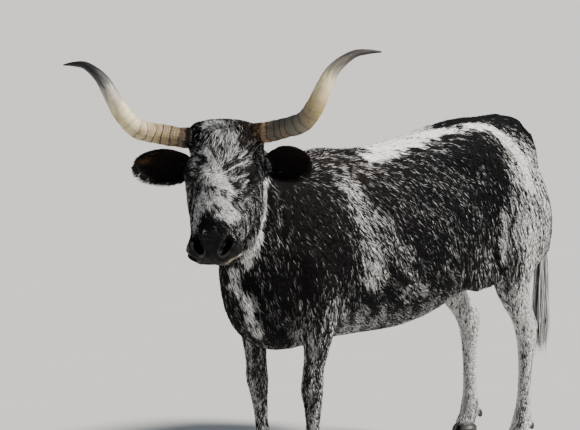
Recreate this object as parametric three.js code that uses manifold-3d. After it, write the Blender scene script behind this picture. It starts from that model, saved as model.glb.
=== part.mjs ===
// A Texas longhorn cow at life size, standing, with her head turned to her left.
// Millimetres, +Z up. She faces -X, and her left side faces -Y.
// The flesh is one solid made of lofts, which thin cuts part into head, neck, torso, legs, ears and tail.

import * as THREE from "three";
import { mergeVertices } from "three/addons/utils/BufferGeometryUtils.js";
import Module from "manifold-3d";

const wasm = await Module();
wasm.setup();

// Driving sizes
const GAP = 0.3;
const HIP_HEIGHT = 1326;
const WITHERS_HEIGHT = 1250;
const CHEST_FLOOR = 545;
const BARREL_WIDTH = 520;
const HOOK_WIDTH = 470;
const PIN_WIDTH = 250;
const HEAD_LENGTH = 524;
const HEAD_WIDTH = 268;
const HEAD_TURN = 32;
const FACE_SLOPE = 29;
const FACE_ROLL = -0.3;
const CROWN_ROLL = 2.5;
const POLL = new THREE.Vector3(-1000, -150, 1408);
const HORN_RADIUS = 35;
const EYE_RADIUS = 19;
const EAR_WIDTH = 124;
const FORE_TRACK = 160;
const HIND_TRACK = 158;
const FORE_HOOF = -580;
const HIND_HOOF = 596;
const FORE_STEP = { left: -25, right: 70 };
const HIND_STEP = { left: -10, right: 60 };
const KNEE_CUT = 430;
const HOCK_CUT = 470;
const CORONET_HEIGHT = 72;
const DEWCLAW_HEIGHT = 122;
const HOOF_LENGTH = 112;
const CLAW_WIDTH = 46;
const CLEFT = 5;
const TAIL_RADIUS = 33;
const TAIL_CUT = 758;
const SWITCH_BOTTOM = 330;

// Colours seen on the animal
const COAT = { color: 0x2a2928, roughness: 0.85, metalness: 0 };
const ROAN = { color: 0x6e6c6a, roughness: 0.85, metalness: 0 };
const PALE_HAIR = { color: 0xcfccc6, roughness: 0.8, metalness: 0 };
const HORN = { color: 0xb8aa86, roughness: 0.45, metalness: 0 };
const HOOF = { color: 0x2b2622, roughness: 0.5, metalness: 0 };
const EYE = { color: 0x120c08, roughness: 0.08, metalness: 0 };

// Small tools

const vec = (x, y, z) => new THREE.Vector3(x, y, z);
const UP = vec(0, 0, 1);
const radians = THREE.MathUtils.degToRad;

// A seeded draw from -1 to 1, so that every build is the same.
let seed = 7;
function draw() {
  seed = (seed * 16807) % 2147483647;
  return (seed / 2147483647) * 2 - 1;
}

function closedSolid(positions, triangles) {
  const shape = new THREE.BufferGeometry();
  shape.setAttribute("position", new THREE.Float32BufferAttribute(positions, 3));
  shape.setIndex(triangles);
  return solidOf(shape);
}

function solidOf(geometry) {
  const bare = new THREE.BufferGeometry();
  bare.setAttribute("position", geometry.getAttribute("position"));
  bare.setIndex(geometry.getIndex());
  const merged = mergeVertices(bare, 1e-3);
  const triVerts = new Uint32Array(merged.index.array);
  const vertProperties = merged.attributes.position.array;
  const made = new wasm.Manifold(new wasm.Mesh({ numProp: 3, vertProperties, triVerts }));
  if (made.volume() > 0) return made;
  for (let i = 0; i < triVerts.length; i += 3) {
    [triVerts[i], triVerts[i + 1]] = [triVerts[i + 1], triVerts[i]];
  }
  return new wasm.Manifold(new wasm.Mesh({ numProp: 3, vertProperties, triVerts }));
}

function join(solids) {
  return solids.reduce((whole, next) => whole.add(next));
}

// Keeps the largest closed surface.
function largest(solid) {
  return solid.decompose().reduce((a, b) => (b.volume() > a.volume() ? b : a));
}

// A Catmull-Rom blend of the numbers in a row of stations. t runs from 0 to 1.
function blend(stations, t) {
  const spans = stations.length - 1;
  const along = Math.min(t * spans, spans - 1e-9);
  const first = Math.floor(along);
  const u = along - first;
  const pick = (i) => stations[THREE.MathUtils.clamp(i, 0, spans)];
  const [a, b, c, d] = [pick(first - 1), pick(first), pick(first + 1), pick(first + 2)];
  const mixed = {};
  for (const key of Object.keys(b)) {
    const slopeIn = (c[key] - a[key]) / 2;
    const slopeOut = (d[key] - b[key]) / 2;
    const rise = c[key] - b[key];
    mixed[key] = b[key] + u * (slopeIn + u * (3 * rise - 2 * slopeIn - slopeOut
      + u * (slopeIn + slopeOut - 2 * rise)));
  }
  return mixed;
}

// Turns rows of numbers under named columns into stations.
function table(columns, rows) {
  return rows.map((row) => Object.fromEntries(columns.map((name, i) => [name, row[i]])));
}

// Joins closed rings of points into a solid with a fan over each end.
function ringSolid(rings) {
  const sides = rings[0].length;
  const positions = [];
  const triangles = [];
  for (const ring of rings) ring.forEach((p) => positions.push(p.x, p.y, p.z));
  for (const ring of [rings[0], rings.at(-1)]) {
    const middle = ring.reduce((sum, p) => sum.add(p), vec(0, 0, 0)).divideScalar(sides);
    positions.push(middle.x, middle.y, middle.z);
  }
  const firstPole = rings.length * sides;
  for (let i = 0; i < sides; i += 1) {
    const j = (i + 1) % sides;
    for (let r = 0; r + 1 < rings.length; r += 1) {
      const a = r * sides + i;
      const b = r * sides + j;
      triangles.push(a, b, b + sides, a, b + sides, a + sides);
    }
    const last = (rings.length - 1) * sides;
    triangles.push(firstPole, j, i, firstPole + 1, last + i, last + j);
  }
  return closedSolid(positions, triangles);
}

// One ring: half a rounded section above the middle and half below, each with its own power.
function sectionRing(middle, side, up, size, sides) {
  const ring = [];
  for (let i = 0; i < sides; i += 1) {
    const angle = (2 * Math.PI * i) / sides;
    const c = Math.cos(angle);
    const s = Math.sin(angle);
    const power = 2 / (s > 0 ? size.upPower ?? 2 : size.downPower ?? 2);
    const across = Math.sign(c) * Math.abs(c) ** power * size.wide;
    const high = Math.sign(s) * Math.abs(s) ** power * (s > 0 ? size.up : size.down);
    ring.push(middle.clone().addScaledVector(side, across).addScaledVector(up, high));
  }
  return ring;
}

// A swelling, or a hollow where by is negative, that pushes points away from the section's middle.
function swell(point, middle, swells) {
  let push = 0;
  for (const one of swells) {
    const mirrors = one.both ? [1, -1] : [1];
    for (const mirror of mirrors) {
      const dx = (point.x - one.at[0]) / one.reach[0];
      const dy = (point.y - one.at[1] * mirror) / one.reach[1];
      const dz = (point.z - one.at[2]) / one.reach[2];
      push += one.by * Math.exp(-(dx * dx + dy * dy + dz * dz));
    }
  }
  return point.addScaledVector(point.clone().sub(middle).normalize(), push);
}

// A loft whose sections stand across fixed axes.
function straightLoft({ stations, steps, sides, place, swells = [] }) {
  const rings = [];
  for (let k = 0; k <= steps; k += 1) {
    const size = blend(stations, k / steps);
    const { middle, side, up } = place(size);
    const ring = sectionRing(middle, side, up, size, sides);
    rings.push(ring.map((p) => swell(p, middle, swells)));
  }
  return ringSolid(rings);
}

// A loft along a bent line, with its sections square to the line. ahead is the way that its up side looks.
function bentLoft({ stations, steps, sides, ahead, swells = [] }) {
  const rings = [];
  const at = (t) => {
    const size = blend(stations, THREE.MathUtils.clamp(t, 0, 1));
    return vec(size.x, size.y, size.z);
  };
  for (let k = 0; k <= steps; k += 1) {
    const t = k / steps;
    const size = blend(stations, t);
    const middle = at(t);
    const tangent = at(t + 0.01).sub(at(t - 0.01)).normalize();
    const side = vec(0, 0, 0).crossVectors(tangent, ahead).normalize();
    const up = vec(0, 0, 0).crossVectors(side, tangent).normalize();
    const ring = sectionRing(middle, side, up, size, sides);
    rings.push(ring.map((p) => swell(p, middle, swells)));
  }
  return ringSolid(rings);
}

function ellipsoid(middle, radii, turn = null, around = 14, down = 10) {
  const ball = new THREE.SphereGeometry(1, around, down);
  ball.scale(radii[0], radii[1], radii[2]);
  if (turn) ball.applyMatrix4(turn);
  ball.translate(middle.x, middle.y, middle.z);
  return solidOf(ball);
}

// A box given by its size, with its middle and turn set by a matrix.
function boxSolid(size, matrix) {
  const box = new THREE.BoxGeometry(size[0], size[1], size[2]);
  box.applyMatrix4(matrix);
  return solidOf(box);
}

// Cuts a body with a thin flat slab, and gives back what the probe point lies nearest, and the rest.
function cutOff(body, { at, facing, reach, probe }) {
  const turn = new THREE.Quaternion().setFromUnitVectors(UP, facing.clone().normalize());
  const matrix = new THREE.Matrix4().compose(at, turn, vec(1, 1, 1));
  const slab = boxSolid([reach * 2, reach * 2, GAP], matrix);
  const pieces = body.subtract(slab).decompose();
  const distance = (piece) => {
    const { min, max } = piece.boundingBox();
    const middle = vec(min[0] + max[0], min[1] + max[1], min[2] + max[2]).divideScalar(2);
    return middle.distanceTo(probe);
  };
  const taken = pieces.reduce((a, b) => (distance(b) < distance(a) ? b : a));
  const left = pieces.filter((piece) => piece !== taken);
  return { taken, rest: left.reduce((a, b) => (b.volume() > a.volume() ? b : a)) };
}

// Takes what lies inside a box out of a body, with the gap between the two.
function takeBox(body, size, matrix) {
  const inner = size.map((length) => length - GAP);
  const outer = size.map((length) => length + GAP);
  return {
    taken: largest(body.intersect(boxSolid(inner, matrix))),
    rest: largest(body.subtract(boxSolid(outer, matrix))),
  };
}

// The head's own axes: along runs from the poll down the face, out looks out of the face, left is her left.
// The crown, with horns and ears, leans a little more to one side than the face does.
const heading = vec(-Math.cos(radians(HEAD_TURN)), -Math.sin(radians(HEAD_TURN)), 0);
const level = vec(0, 0, 0).crossVectors(UP, heading);
const faceRoll = new THREE.Quaternion().setFromAxisAngle(heading, radians(FACE_ROLL));
const crownRoll = new THREE.Quaternion().setFromAxisAngle(heading, radians(CROWN_ROLL));
const left = level.clone().applyQuaternion(faceRoll);
const faceUp = UP.clone().applyQuaternion(faceRoll);
const crownLeft = level.clone().applyQuaternion(crownRoll);
const crownUp = UP.clone().applyQuaternion(crownRoll);
const slope = radians(FACE_SLOPE);
const along = faceUp.clone().multiplyScalar(-Math.cos(slope)).addScaledVector(heading, Math.sin(slope));
const out = faceUp.clone().multiplyScalar(Math.sin(slope)).addScaledVector(heading, Math.cos(slope));

// A point of the face: the share of the head's length below the poll, to her left, and out of the face.
function onFace(share, aside, outward) {
  return POLL.clone()
    .addScaledVector(along, share * HEAD_LENGTH)
    .addScaledVector(left, aside)
    .addScaledVector(out, outward);
}

// A point of the crown by upright axes: to her left, forward and up from the poll.
function fromPoll(aside, forward, up) {
  return POLL.clone()
    .addScaledVector(crownLeft, aside)
    .addScaledVector(heading, forward)
    .addScaledVector(crownUp, up);
}

const faceTurn = new THREE.Matrix4().makeBasis(along, left, out);

// Torso

function makeTorso() {
  const columns = ["x", "top", "bottom", "mid", "wide", "upPower", "downPower"];
  const half = BARREL_WIDTH / 2;
  const rows = [
    [-800, 900, 700, 800, 40, 2, 2],
    [-765, 980, 620, 800, 110, 2, 2],
    [-690, 1080, 560, 815, 165, 2, 2.1],
    [-600, 1165, CHEST_FLOOR - 15, 830, 200, 1.8, 2.2],
    [-510, 1220, CHEST_FLOOR - 10, 850, 217, 1.65, 2.2],
    [-420, WITHERS_HEIGHT, CHEST_FLOOR, 860, 224, 1.6, 2.2],
    [-320, 1246, CHEST_FLOOR + 5, 865, 228, 1.7, 2.2],
    [-200, 1232, CHEST_FLOOR + 5, 865, 240, 1.95, 2.2],
    [-60, 1238, CHEST_FLOOR + 5, 860, half - 6, 2.1, 2.2],
    [80, 1251, CHEST_FLOOR + 20, 865, half, 2.2, 2.15],
    [210, 1268, CHEST_FLOOR + 50, 885, half - 10, 2.4, 2.1],
    [320, 1288, CHEST_FLOOR + 90, 925, half - 30, 2.5, 2],
    [430, HIP_HEIGHT - 18, CHEST_FLOOR + 150, 960, half - 42, 2.4, 2],
    [540, HIP_HEIGHT - 20, CHEST_FLOOR + 235, 990, half - 55, 2.1, 2],
    [645, HIP_HEIGHT - 12, CHEST_FLOOR + 330, 1020, half - 82, 1.9, 2],
    [708, HIP_HEIGHT - 26, CHEST_FLOOR + 395, 1050, half - 112, 1.8, 2],
    [748, 1262, CHEST_FLOOR + 470, 1090, half - 155, 1.9, 2],
    [762, 1205, CHEST_FLOOR + 540, 1120, 50, 2, 2],
  ];
  const hook = HOOK_WIDTH / 2 - 18;
  const pin = PIN_WIDTH / 2 - 12;
  const swells = [
    { at: [305, hook, 1222], reach: [62, 60, 55], by: 44, both: true },
    { at: [738, pin, 1170], reach: [55, 50, 60], by: 26, both: true },
    { at: [195, 225, 1120], reach: [85, 80, 80], by: -26, both: true },
    { at: [520, 190, 1235], reach: [110, 60, 60], by: -14, both: true },
    { at: [600, 210, 960], reach: [130, 90, 140], by: 22, both: true },
    { at: [-520, 195, 960], reach: [120, 90, 170], by: 20, both: true },
    { at: [-330, 210, 1040], reach: [70, 90, 130], by: -12, both: true },
    { at: [-740, 110, 860], reach: [60, 60, 80], by: 16, both: true },
  ];
  const stations = table(columns, rows).map((row) => ({
    ...row,
    up: row.top - row.mid,
    down: row.mid - row.bottom,
  }));
  const place = (size) => ({ middle: vec(size.x, 0, size.mid), side: vec(0, 1, 0), up: UP });
  return straightLoft({ stations, steps: 24, sides: 20, place, swells });
}

// The fold of skin from the flank to the stifle.
function makeFlankFold(hand) {
  const stations = table(["x", "y", "z", "wide", "up", "down"], [
    [220, hand * 150, 735, 30, 60, 50],
    [320, hand * 178, 712, 30, 66, 56],
    [400, hand * 188, 735, 30, 70, 60],
    [470, hand * 185, 780, 30, 60, 60],
  ]);
  return bentLoft({ stations, steps: 6, sides: 10, ahead: UP });
}

// A dry udder with four short teats, between the thighs.
function makeUdder() {
  const bag = ellipsoid(vec(500, 0, 735), [105, 54, 78]);
  const teats = [];
  for (const x of [455, 525]) {
    for (const y of [-26, 26]) teats.push(ellipsoid(vec(x, y, 668), [10, 10, 30], null, 6, 5));
  }
  return join([bag, ...teats]);
}

// Neck, with the loose fold of skin that hangs from the throat to the brisket

function makeNeck() {
  const stations = table(["x", "y", "z", "wide", "up", "down", "upPower", "downPower"], [
    [-430, 0, 900, 205, 335, 320, 1.7, 2.1],
    [-560, -4, 955, 192, 300, 300, 1.75, 2.1],
    [-680, -22, 1030, 158, 235, 255, 1.85, 2.1],
    [-790, -54, 1120, 120, 180, 195, 1.9, 2],
    [-880, -90, 1200, 100, 145, 150, 2, 2],
    [-945, -120, 1262, 96, 112, 118, 2, 2],
  ]);
  return bentLoft({ stations, steps: 10, sides: 20, ahead: UP });
}

function makeDewlap() {
  const stations = table(["x", "y", "z", "wide", "up", "down"], [
    [-905, -105, 1085, 22, 60, 40],
    [-868, -62, 985, 24, 70, 62],
    [-835, -26, 880, 27, 80, 72],
    [-795, -8, 780, 34, 80, 74],
    [-735, 0, 690, 46, 80, 74],
    [-650, 0, 620, 58, 70, 66],
    [-560, 0, 585, 60, 50, 45],
  ]);
  return bentLoft({ stations, steps: 12, sides: 10, ahead: vec(0.75, 0, 0.66) });
}

// Head

function makeSkull() {
  const wide = HEAD_WIDTH / 2;
  const columns = ["share", "wide", "top", "bottom", "mid", "upPower", "downPower"];
  const rows = [
    [-0.004, wide * 0.4, -34, -100, -66, 2, 2],
    [0.018, wide * 0.72, -10, -130, -64, 2.4, 2],
    [0.06, wide * 0.92, 2, -170, -74, 3, 2.2],
    [0.14, wide * 0.93, 8, -200, -84, 3, 2.3],
    [0.23, wide * 0.91, 12, -222, -90, 2.9, 2.3],
    [0.31, wide * 0.95, 12, -238, -88, 2.7, 2.3],
    [0.385, wide, 8, -250, -84, 2.6, 2.3],
    [0.46, wide * 0.96, 4, -250, -88, 2.4, 2.3],
    [0.56, wide * 0.89, 2, -242, -94, 2.2, 2.5],
    [0.67, wide * 0.81, 0, -216, -94, 2.1, 2.6],
    [0.77, wide * 0.73, -2, -178, -86, 2.2, 2.5],
    [0.85, wide * 0.66, -4, -144, -72, 2.5, 2.3],
    [0.905, wide * 0.64, -12, -130, -68, 2.7, 2.2],
    [0.95, wide * 0.56, -32, -122, -76, 2.6, 2.2],
    [0.98, wide * 0.36, -58, -106, -84, 2.2, 2],
  ];
  const stations = table(columns, rows).map((row) => ({
    ...row,
    up: row.top - row.mid,
    down: row.mid - row.bottom,
  }));
  const place = (size) => ({ middle: onFace(size.share, 0, size.mid), side: left, up: out });
  const spots = [
    { share: 0.11, aside: 118, outward: -26, reach: 46, by: 20 },
    { share: 0.37, aside: 112, outward: -12, reach: 42, by: 8 },
    { share: 0.48, aside: 96, outward: -185, reach: 60, by: 10 },
    { share: 0.53, aside: 94, outward: -28, reach: 46, by: -9 },
    { share: 0.75, aside: 82, outward: -92, reach: 44, by: -8 },
    { share: 0.9, aside: 66, outward: -62, reach: 34, by: 6 },
  ];
  const swells = [];
  for (const { share, aside, outward, reach, by } of spots) {
    for (const hand of [1, -1]) {
      const at = onFace(share, hand * aside, outward).toArray();
      swells.push({ at, reach: [reach, reach, reach], by });
    }
  }
  return straightLoft({ stations, steps: 23, sides: 20, place, swells });
}

// The eye's own axes: the long way of its slit runs forward and down to the inner corner.
function eyeTurn(hand) {
  const gaze = left.clone().multiplyScalar(hand).addScaledVector(out, 0.4).normalize();
  const slit = along.clone().addScaledVector(out, 0.35);
  slit.addScaledVector(gaze, -slit.dot(gaze)).normalize();
  const lift = vec(0, 0, 0).crossVectors(gaze, slit);
  return new THREE.Matrix4().makeBasis(slit, lift, gaze);
}

function eyePlace(hand) {
  return onFace(0.4, hand * (HEAD_WIDTH / 2 - 25), -38);
}

function ahead(place, turn, distance) {
  const gaze = vec(0, 0, 0).setFromMatrixColumn(turn, 2);
  return place.clone().addScaledVector(gaze, distance);
}

// The rim of both lids, an almond ring that stands a little proud of the face.
function makeLids(hand) {
  const turn = eyeTurn(hand);
  const ring = new THREE.TorusGeometry(EYE_RADIUS - 1, 5, 5, 12);
  ring.scale(1.25, 0.82, 1);
  ring.applyMatrix4(turn);
  const seat = ahead(eyePlace(hand), turn, EYE_RADIUS - 4);
  ring.translate(seat.x, seat.y, seat.z);
  return solidOf(ring);
}

// The eyeball's socket with the almond opening before it.
function makeSocket(hand) {
  const turn = eyeTurn(hand);
  const place = eyePlace(hand);
  const ball = EYE_RADIUS + GAP;
  const opening = [EYE_RADIUS * 0.84, EYE_RADIUS * 0.5, EYE_RADIUS * 1.5];
  const slit = ellipsoid(ahead(place, turn, EYE_RADIUS * 1.1), opening, turn, 10, 6);
  return ellipsoid(place, [ball, ball, ball], turn, 12, 8).add(slit);
}

function makeEye(hand) {
  return ellipsoid(eyePlace(hand), [EYE_RADIUS, EYE_RADIUS, EYE_RADIUS], eyeTurn(hand), 12, 8);
}

// The nostril is a bent hollow, wide at the front and drawn out to a slit at its outer end.
function makeNostril(hand) {
  const deep = ellipsoid(onFace(0.915, hand * 50, -24), [17, 13, 18], faceTurn, 10, 7);
  const slit = ellipsoid(onFace(0.885, hand * 65, -34), [18, 8, 12], faceTurn, 8, 6);
  return join([deep, slit]);
}

function makeNostrilRim(hand) {
  const ring = new THREE.TorusGeometry(19, 6, 5, 10);
  ring.scale(0.85, 1.1, 1);
  const gaze = out.clone().addScaledVector(along, 0.5).addScaledVector(left, hand * 0.6).normalize();
  ring.applyQuaternion(new THREE.Quaternion().setFromUnitVectors(UP, gaze));
  const seat = onFace(0.905, hand * 54, -24);
  ring.translate(seat.x, seat.y, seat.z);
  return solidOf(ring);
}

// The groove between the lips, from one corner round the front to the other.
function makeMouth() {
  const halfWay = [
    [0.85, 96, -116],
    [0.9, 86, -110],
    [0.955, 70, -106],
    [0.995, 42, -102],
  ];
  const places = [
    ...halfWay.map(([share, aside, outward]) => onFace(share, -aside, outward)),
    onFace(1.015, 0, -100),
    ...halfWay.reverse().map(([share, aside, outward]) => onFace(share, aside, outward)),
  ];
  const rows = places.map((p) => [p.x, p.y, p.z, 13, 3.5, 3.5]);
  const stations = table(["x", "y", "z", "wide", "up", "down"], rows);
  return bentLoft({ stations, steps: 14, sides: 6, ahead: out });
}

function makeChin() {
  return ellipsoid(onFace(0.885, 0, -130), [38, 46, 20], faceTurn, 12, 8);
}

// Horns: out, forward, up, and back out at the tips. Her right one grows a little lower.
const HORN_SHIFT = { 1: { aside: 0, rise: 0 }, "-1": { aside: -9, rise: -10 } };

function makeHorn(hand) {
  const columns = ["aside", "forward", "rise", "radius"];
  const rows = [
    [88, 0, -66, HORN_RADIUS],
    [137, 5, -63, HORN_RADIUS],
    [212, 25, -47, HORN_RADIUS * 0.99],
    [283, 58, -25, HORN_RADIUS * 0.97],
    [330, 80, 28, HORN_RADIUS * 0.9],
    [364, 88, 92, HORN_RADIUS * 0.79],
    [402, 76, 154, HORN_RADIUS * 0.62],
    [460, 46, 196, HORN_RADIUS * 0.4],
    [508, 26, 203, HORN_RADIUS * 0.25],
    [552, 5, 200, HORN_RADIUS * 0.07],
  ];
  const shift = HORN_SHIFT[hand];
  const stations = table(columns, rows).map((row) => {
    const place = fromPoll(hand * row.aside + shift.aside, row.forward, row.rise + shift.rise);
    return { x: place.x, y: place.y, z: place.z, wide: row.radius, up: row.radius, down: row.radius };
  });
  return bentLoft({ stations, steps: 21, sides: 10, ahead: heading });
}

// Ears: a leaf rolled into a cup that opens forward, with a fringe along its lower edge and tip
const EAR_ROOT = { aside: 94, forward: -62, up: -190 };
const EAR_TIP = {
  1: { aside: 294, forward: 34, up: -154 },
  "-1": { aside: 318, forward: 46, up: -152 },
};
const EAR_STATIONS = table(["t", "half", "bow", "thick"], [
  [0, 0.5, 30, 34],
  [0.16, 0.56, 32, 26],
  [0.3, 0.8, 34, 12],
  [0.5, 1, 34, 9],
  [0.7, 0.94, 28, 8],
  [0.86, 0.66, 18, 7],
  [0.96, 0.3, 8, 5],
  [1, 0.1, 3, 3],
]);

function earAxes(hand) {
  const tipPlace = EAR_TIP[hand];
  const root = fromPoll(hand * EAR_ROOT.aside, EAR_ROOT.forward, EAR_ROOT.up);
  const tip = fromPoll(hand * tipPlace.aside, tipPlace.forward, tipPlace.up);
  const axis = tip.clone().sub(root).normalize();
  const opens = heading.clone().addScaledVector(crownUp, -0.12);
  const upward = vec(0, 0, 0).crossVectors(opens, axis).normalize().multiplyScalar(hand);
  const front = vec(0, 0, 0).crossVectors(axis, upward).normalize().multiplyScalar(hand);
  return { root, axis, upward, front, length: tip.distanceTo(root) };
}

function makeEarLeaf(hand) {
  const { root, axis, upward, front, length } = earAxes(hand);
  const steps = 10;
  const across = 5;
  const rings = [];
  for (let k = 0; k <= steps; k += 1) {
    const size = blend(EAR_STATIONS, k / steps);
    const middle = root.clone().addScaledVector(axis, size.t * length);
    const back = [];
    const cup = [];
    for (let i = 0; i <= across; i += 1) {
      const angle = Math.PI * (i / across - 0.5);
      const deep = Math.cos(angle);
      const place = middle.clone().addScaledVector(upward, (Math.sin(angle) * size.half * EAR_WIDTH) / 2);
      back.push(place.clone().addScaledVector(front, -size.bow * deep - size.thick / 2));
      cup.push(place.addScaledVector(front, -size.bow * deep + size.thick * (0.4 + deep * 0.2)));
    }
    rings.push([...back, ...cup.reverse()]);
  }
  return ringSolid(rings);
}

// Broad short locks along the ear's lower edge, swept towards its tip.
function makeEarFringe(hand) {
  const { root, axis, upward, front, length } = earAxes(hand);
  const locks = [];
  for (const t of [0.34, 0.44, 0.54, 0.64, 0.74, 0.84, 0.92]) {
    const size = blend(EAR_STATIONS, t);
    const edge = root.clone()
      .addScaledVector(axis, size.t * length)
      .addScaledVector(upward, -(size.half * EAR_WIDTH) / 2 + 12)
      .addScaledVector(front, -2);
    const way = upward.clone().multiplyScalar(-1 + t * 0.4).addScaledVector(axis, 0.35 + t * 0.5);
    way.normalize();
    const bend = axis.clone().multiplyScalar(4 + draw() * 3).addScaledVector(front, -4);
    locks.push(makeLock(edge, way, front, 24 + draw() * 3, 42, bend, 2));
  }
  return join(locks);
}

// Legs

const legColumns = ["x", "y", "z", "wide", "up", "down", "upPower", "downPower"];

function makeForeLeg(hand, step) {
  const side = FORE_TRACK * hand;
  const rows = [
    [-545, hand * 96, 1000, 60, 60, 60, 2, 2],
    [-552, hand * 138, 905, 82, 110, 105, 2, 2],
    [-545, hand * 168, 800, 74, 115, 112, 2, 2],
    [-530, hand * 170, 715, 62, 92, 98, 2, 2],
    [-538 + step * 0.1, hand * 168, 630, 54, 70, 72, 2, 2],
    [-545 + step * 0.3, hand * 164, 540, 43, 50, 48, 2, 2],
    [-550 + step * 0.45, side, 460, 38, 42, 38, 2.2, 2],
    [-552 + step * 0.55, side, 405, 42, 48, 38, 2.4, 2.2],
    [-550 + step * 0.62, side, 350, 34, 34, 34, 2.2, 2.2],
    [-549 + step * 0.76, side, 260, 25, 24, 28, 2, 2],
    [-549 + step * 0.88, side, 185, 29, 27, 30, 2, 2],
    [-552 + step * 0.95, side, 138, 39, 36, 38, 2.2, 2],
    [FORE_HOOF + 14 + step, side, 100, 38, 32, 30, 2.2, 2],
    [FORE_HOOF + step, side, CORONET_HEIGHT, 45, 40, 40, 2.4, 2.2],
    [FORE_HOOF - 6 + step, side, 52, 30, 26, 26, 2, 2],
  ];
  const stations = table(legColumns, rows);
  return bentLoft({ stations, steps: 21, sides: 10, ahead: vec(-1, 0, 0) });
}

function makeHindLeg(hand, step) {
  const side = HIND_TRACK * hand;
  const rows = [
    [620, hand * 92, 1140, 72, 90, 110, 2, 2],
    [592, hand * 128, 1030, 86, 185, 188, 2, 2.2],
    [562, hand * 152, 900, 84, 178, 222, 2, 2.2],
    [532, hand * 168, 790, 78, 130, 190, 2, 2.1],
    [530 + step * 0.1, hand * 172, 700, 66, 92, 128, 2, 2],
    [562 + step * 0.25, hand * 168, 620, 48, 64, 70, 2, 2],
    [612 + step * 0.4, hand * 162, 545, 37, 48, 58, 2, 1.8],
    [646 + step * 0.5, side, 485, 40, 48, 58, 2.2, 1.9],
    [648 + step * 0.58, side, 420, 34, 36, 38, 2.2, 2],
    [642 + step * 0.7, side, 320, 27, 27, 29, 2, 2],
    [636 + step * 0.85, side, 205, 29, 28, 31, 2, 2],
    [630 + step * 0.95, side, 145, 38, 36, 38, 2.2, 2],
    [HIND_HOOF + 16 + step, side, 102, 37, 32, 30, 2.2, 2],
    [HIND_HOOF + step, side, CORONET_HEIGHT, 44, 40, 40, 2.4, 2.2],
    [HIND_HOOF - 6 + step, side, 52, 30, 26, 26, 2, 2],
  ];
  const stations = table(legColumns, rows);
  const swells = [{ at: [700 + step * 0.45, side, 538], reach: [30, 40, 34], by: 14, both: false }];
  return bentLoft({ stations, steps: 22, sides: 10, ahead: vec(-1, 0, 0), swells });
}

function makeDewclaws(x, y) {
  return join([-22, 22].map((aside) => {
    const turn = new THREE.Matrix4().makeRotationY(radians(-28));
    return ellipsoid(vec(x, y + aside, DEWCLAW_HEIGHT), [15, 11, 24], turn, 7, 5);
  }));
}

// One half of a cloven hoof, with a flat sole, a sloping front and a straight inner wall.
function makeClaw(coronetX, y, hand) {
  const columns = ["z", "front", "back", "width"];
  const rows = [
    [CORONET_HEIGHT - GAP, 42, 42, CLAW_WIDTH - 4],
    [50, 52, 40, CLAW_WIDTH],
    [20, 64, 40, CLAW_WIDTH + 2],
    [0, HOOF_LENGTH * 0.64, HOOF_LENGTH * 0.36, CLAW_WIDTH + 2],
  ];
  const sides = 12;
  const inner = y + (hand * CLEFT) / 2;
  const rings = rows.map((row) => {
    const size = Object.fromEntries(columns.map((name, i) => [name, row[i]]));
    const ring = [];
    for (let i = 0; i < sides; i += 1) {
      const angle = (2 * Math.PI * i) / sides;
      const c = Math.cos(angle);
      const reach = c > 0 ? size.front : size.back;
      const across = (Math.sin(angle) * hand + 1) / 2;
      const pinch = c > 0 ? 1 - 0.35 * c * c : 1 - 0.15 * c * c;
      ring.push(vec(coronetX - c * reach, inner + hand * size.width * across * pinch, size.z));
    }
    return ring;
  });
  return ringSolid(rings);
}

// Tail

function makeTail() {
  const stations = table(["x", "y", "z", "wide", "up", "down"], [
    [690, 0, 1262, TAIL_RADIUS, TAIL_RADIUS, TAIL_RADIUS],
    [752, -2, 1266, TAIL_RADIUS, TAIL_RADIUS, TAIL_RADIUS],
    [800, -10, 1230, TAIL_RADIUS * 0.9, TAIL_RADIUS * 0.9, TAIL_RADIUS * 0.9],
    [822, -26, 1150, TAIL_RADIUS * 0.8, TAIL_RADIUS * 0.8, TAIL_RADIUS * 0.8],
    [834, -46, 1040, TAIL_RADIUS * 0.7, TAIL_RADIUS * 0.7, TAIL_RADIUS * 0.7],
    [838, -64, 900, TAIL_RADIUS * 0.6, TAIL_RADIUS * 0.6, TAIL_RADIUS * 0.6],
    [836, -76, 760, TAIL_RADIUS * 0.5, TAIL_RADIUS * 0.5, TAIL_RADIUS * 0.5],
    [832, -80, 640, TAIL_RADIUS * 0.3, TAIL_RADIUS * 0.3, TAIL_RADIUS * 0.3],
  ]);
  return bentLoft({ stations, steps: 18, sides: 10, ahead: vec(-0.6, 0.1, 0.5) });
}

// The switch: locks round the end of the tail, the outer ones shorter.
function makeSwitch() {
  const stations = table(["x", "y", "z", "wide", "up", "down"], [
    [838, -75, TAIL_CUT + 24, 18, 18, 18],
    [835, -78, 700, 20, 20, 20],
    [832, -80, 620, 17, 17, 17],
    [830, -81, 560, 9, 9, 9],
  ]);
  const core = bentLoft({ stations, steps: 6, sides: 8, ahead: vec(-1, 0, 0.1) });
  const locks = [];
  const tiers = [
    { z: 690, count: 4, reach: 12, bottom: 440, turn: 0 },
    { z: 620, count: 4, reach: 10, bottom: 375, turn: 45 },
    { z: 585, count: 2, reach: 4, bottom: SWITCH_BOTTOM + 15, turn: 10 },
  ];
  for (const { z, count, reach, bottom, turn } of tiers) {
    for (let i = 0; i < count; i += 1) {
      const angle = radians(turn + (360 * i) / count);
      const outward = vec(Math.cos(angle), Math.sin(angle), 0);
      const root = vec(834, -79, z + draw() * 10).addScaledVector(outward, reach);
      const way = vec(-0.02, 0, -1).addScaledVector(outward, 0.07).normalize();
      const bend = outward.clone().multiplyScalar(-10).add(vec(-6 + draw() * 5, draw() * 6, 0));
      locks.push(makeLock(root, way, outward, z - bottom + draw() * 15, 42, bend, 3));
    }
  }
  return join([core, ...locks]);
}

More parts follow.
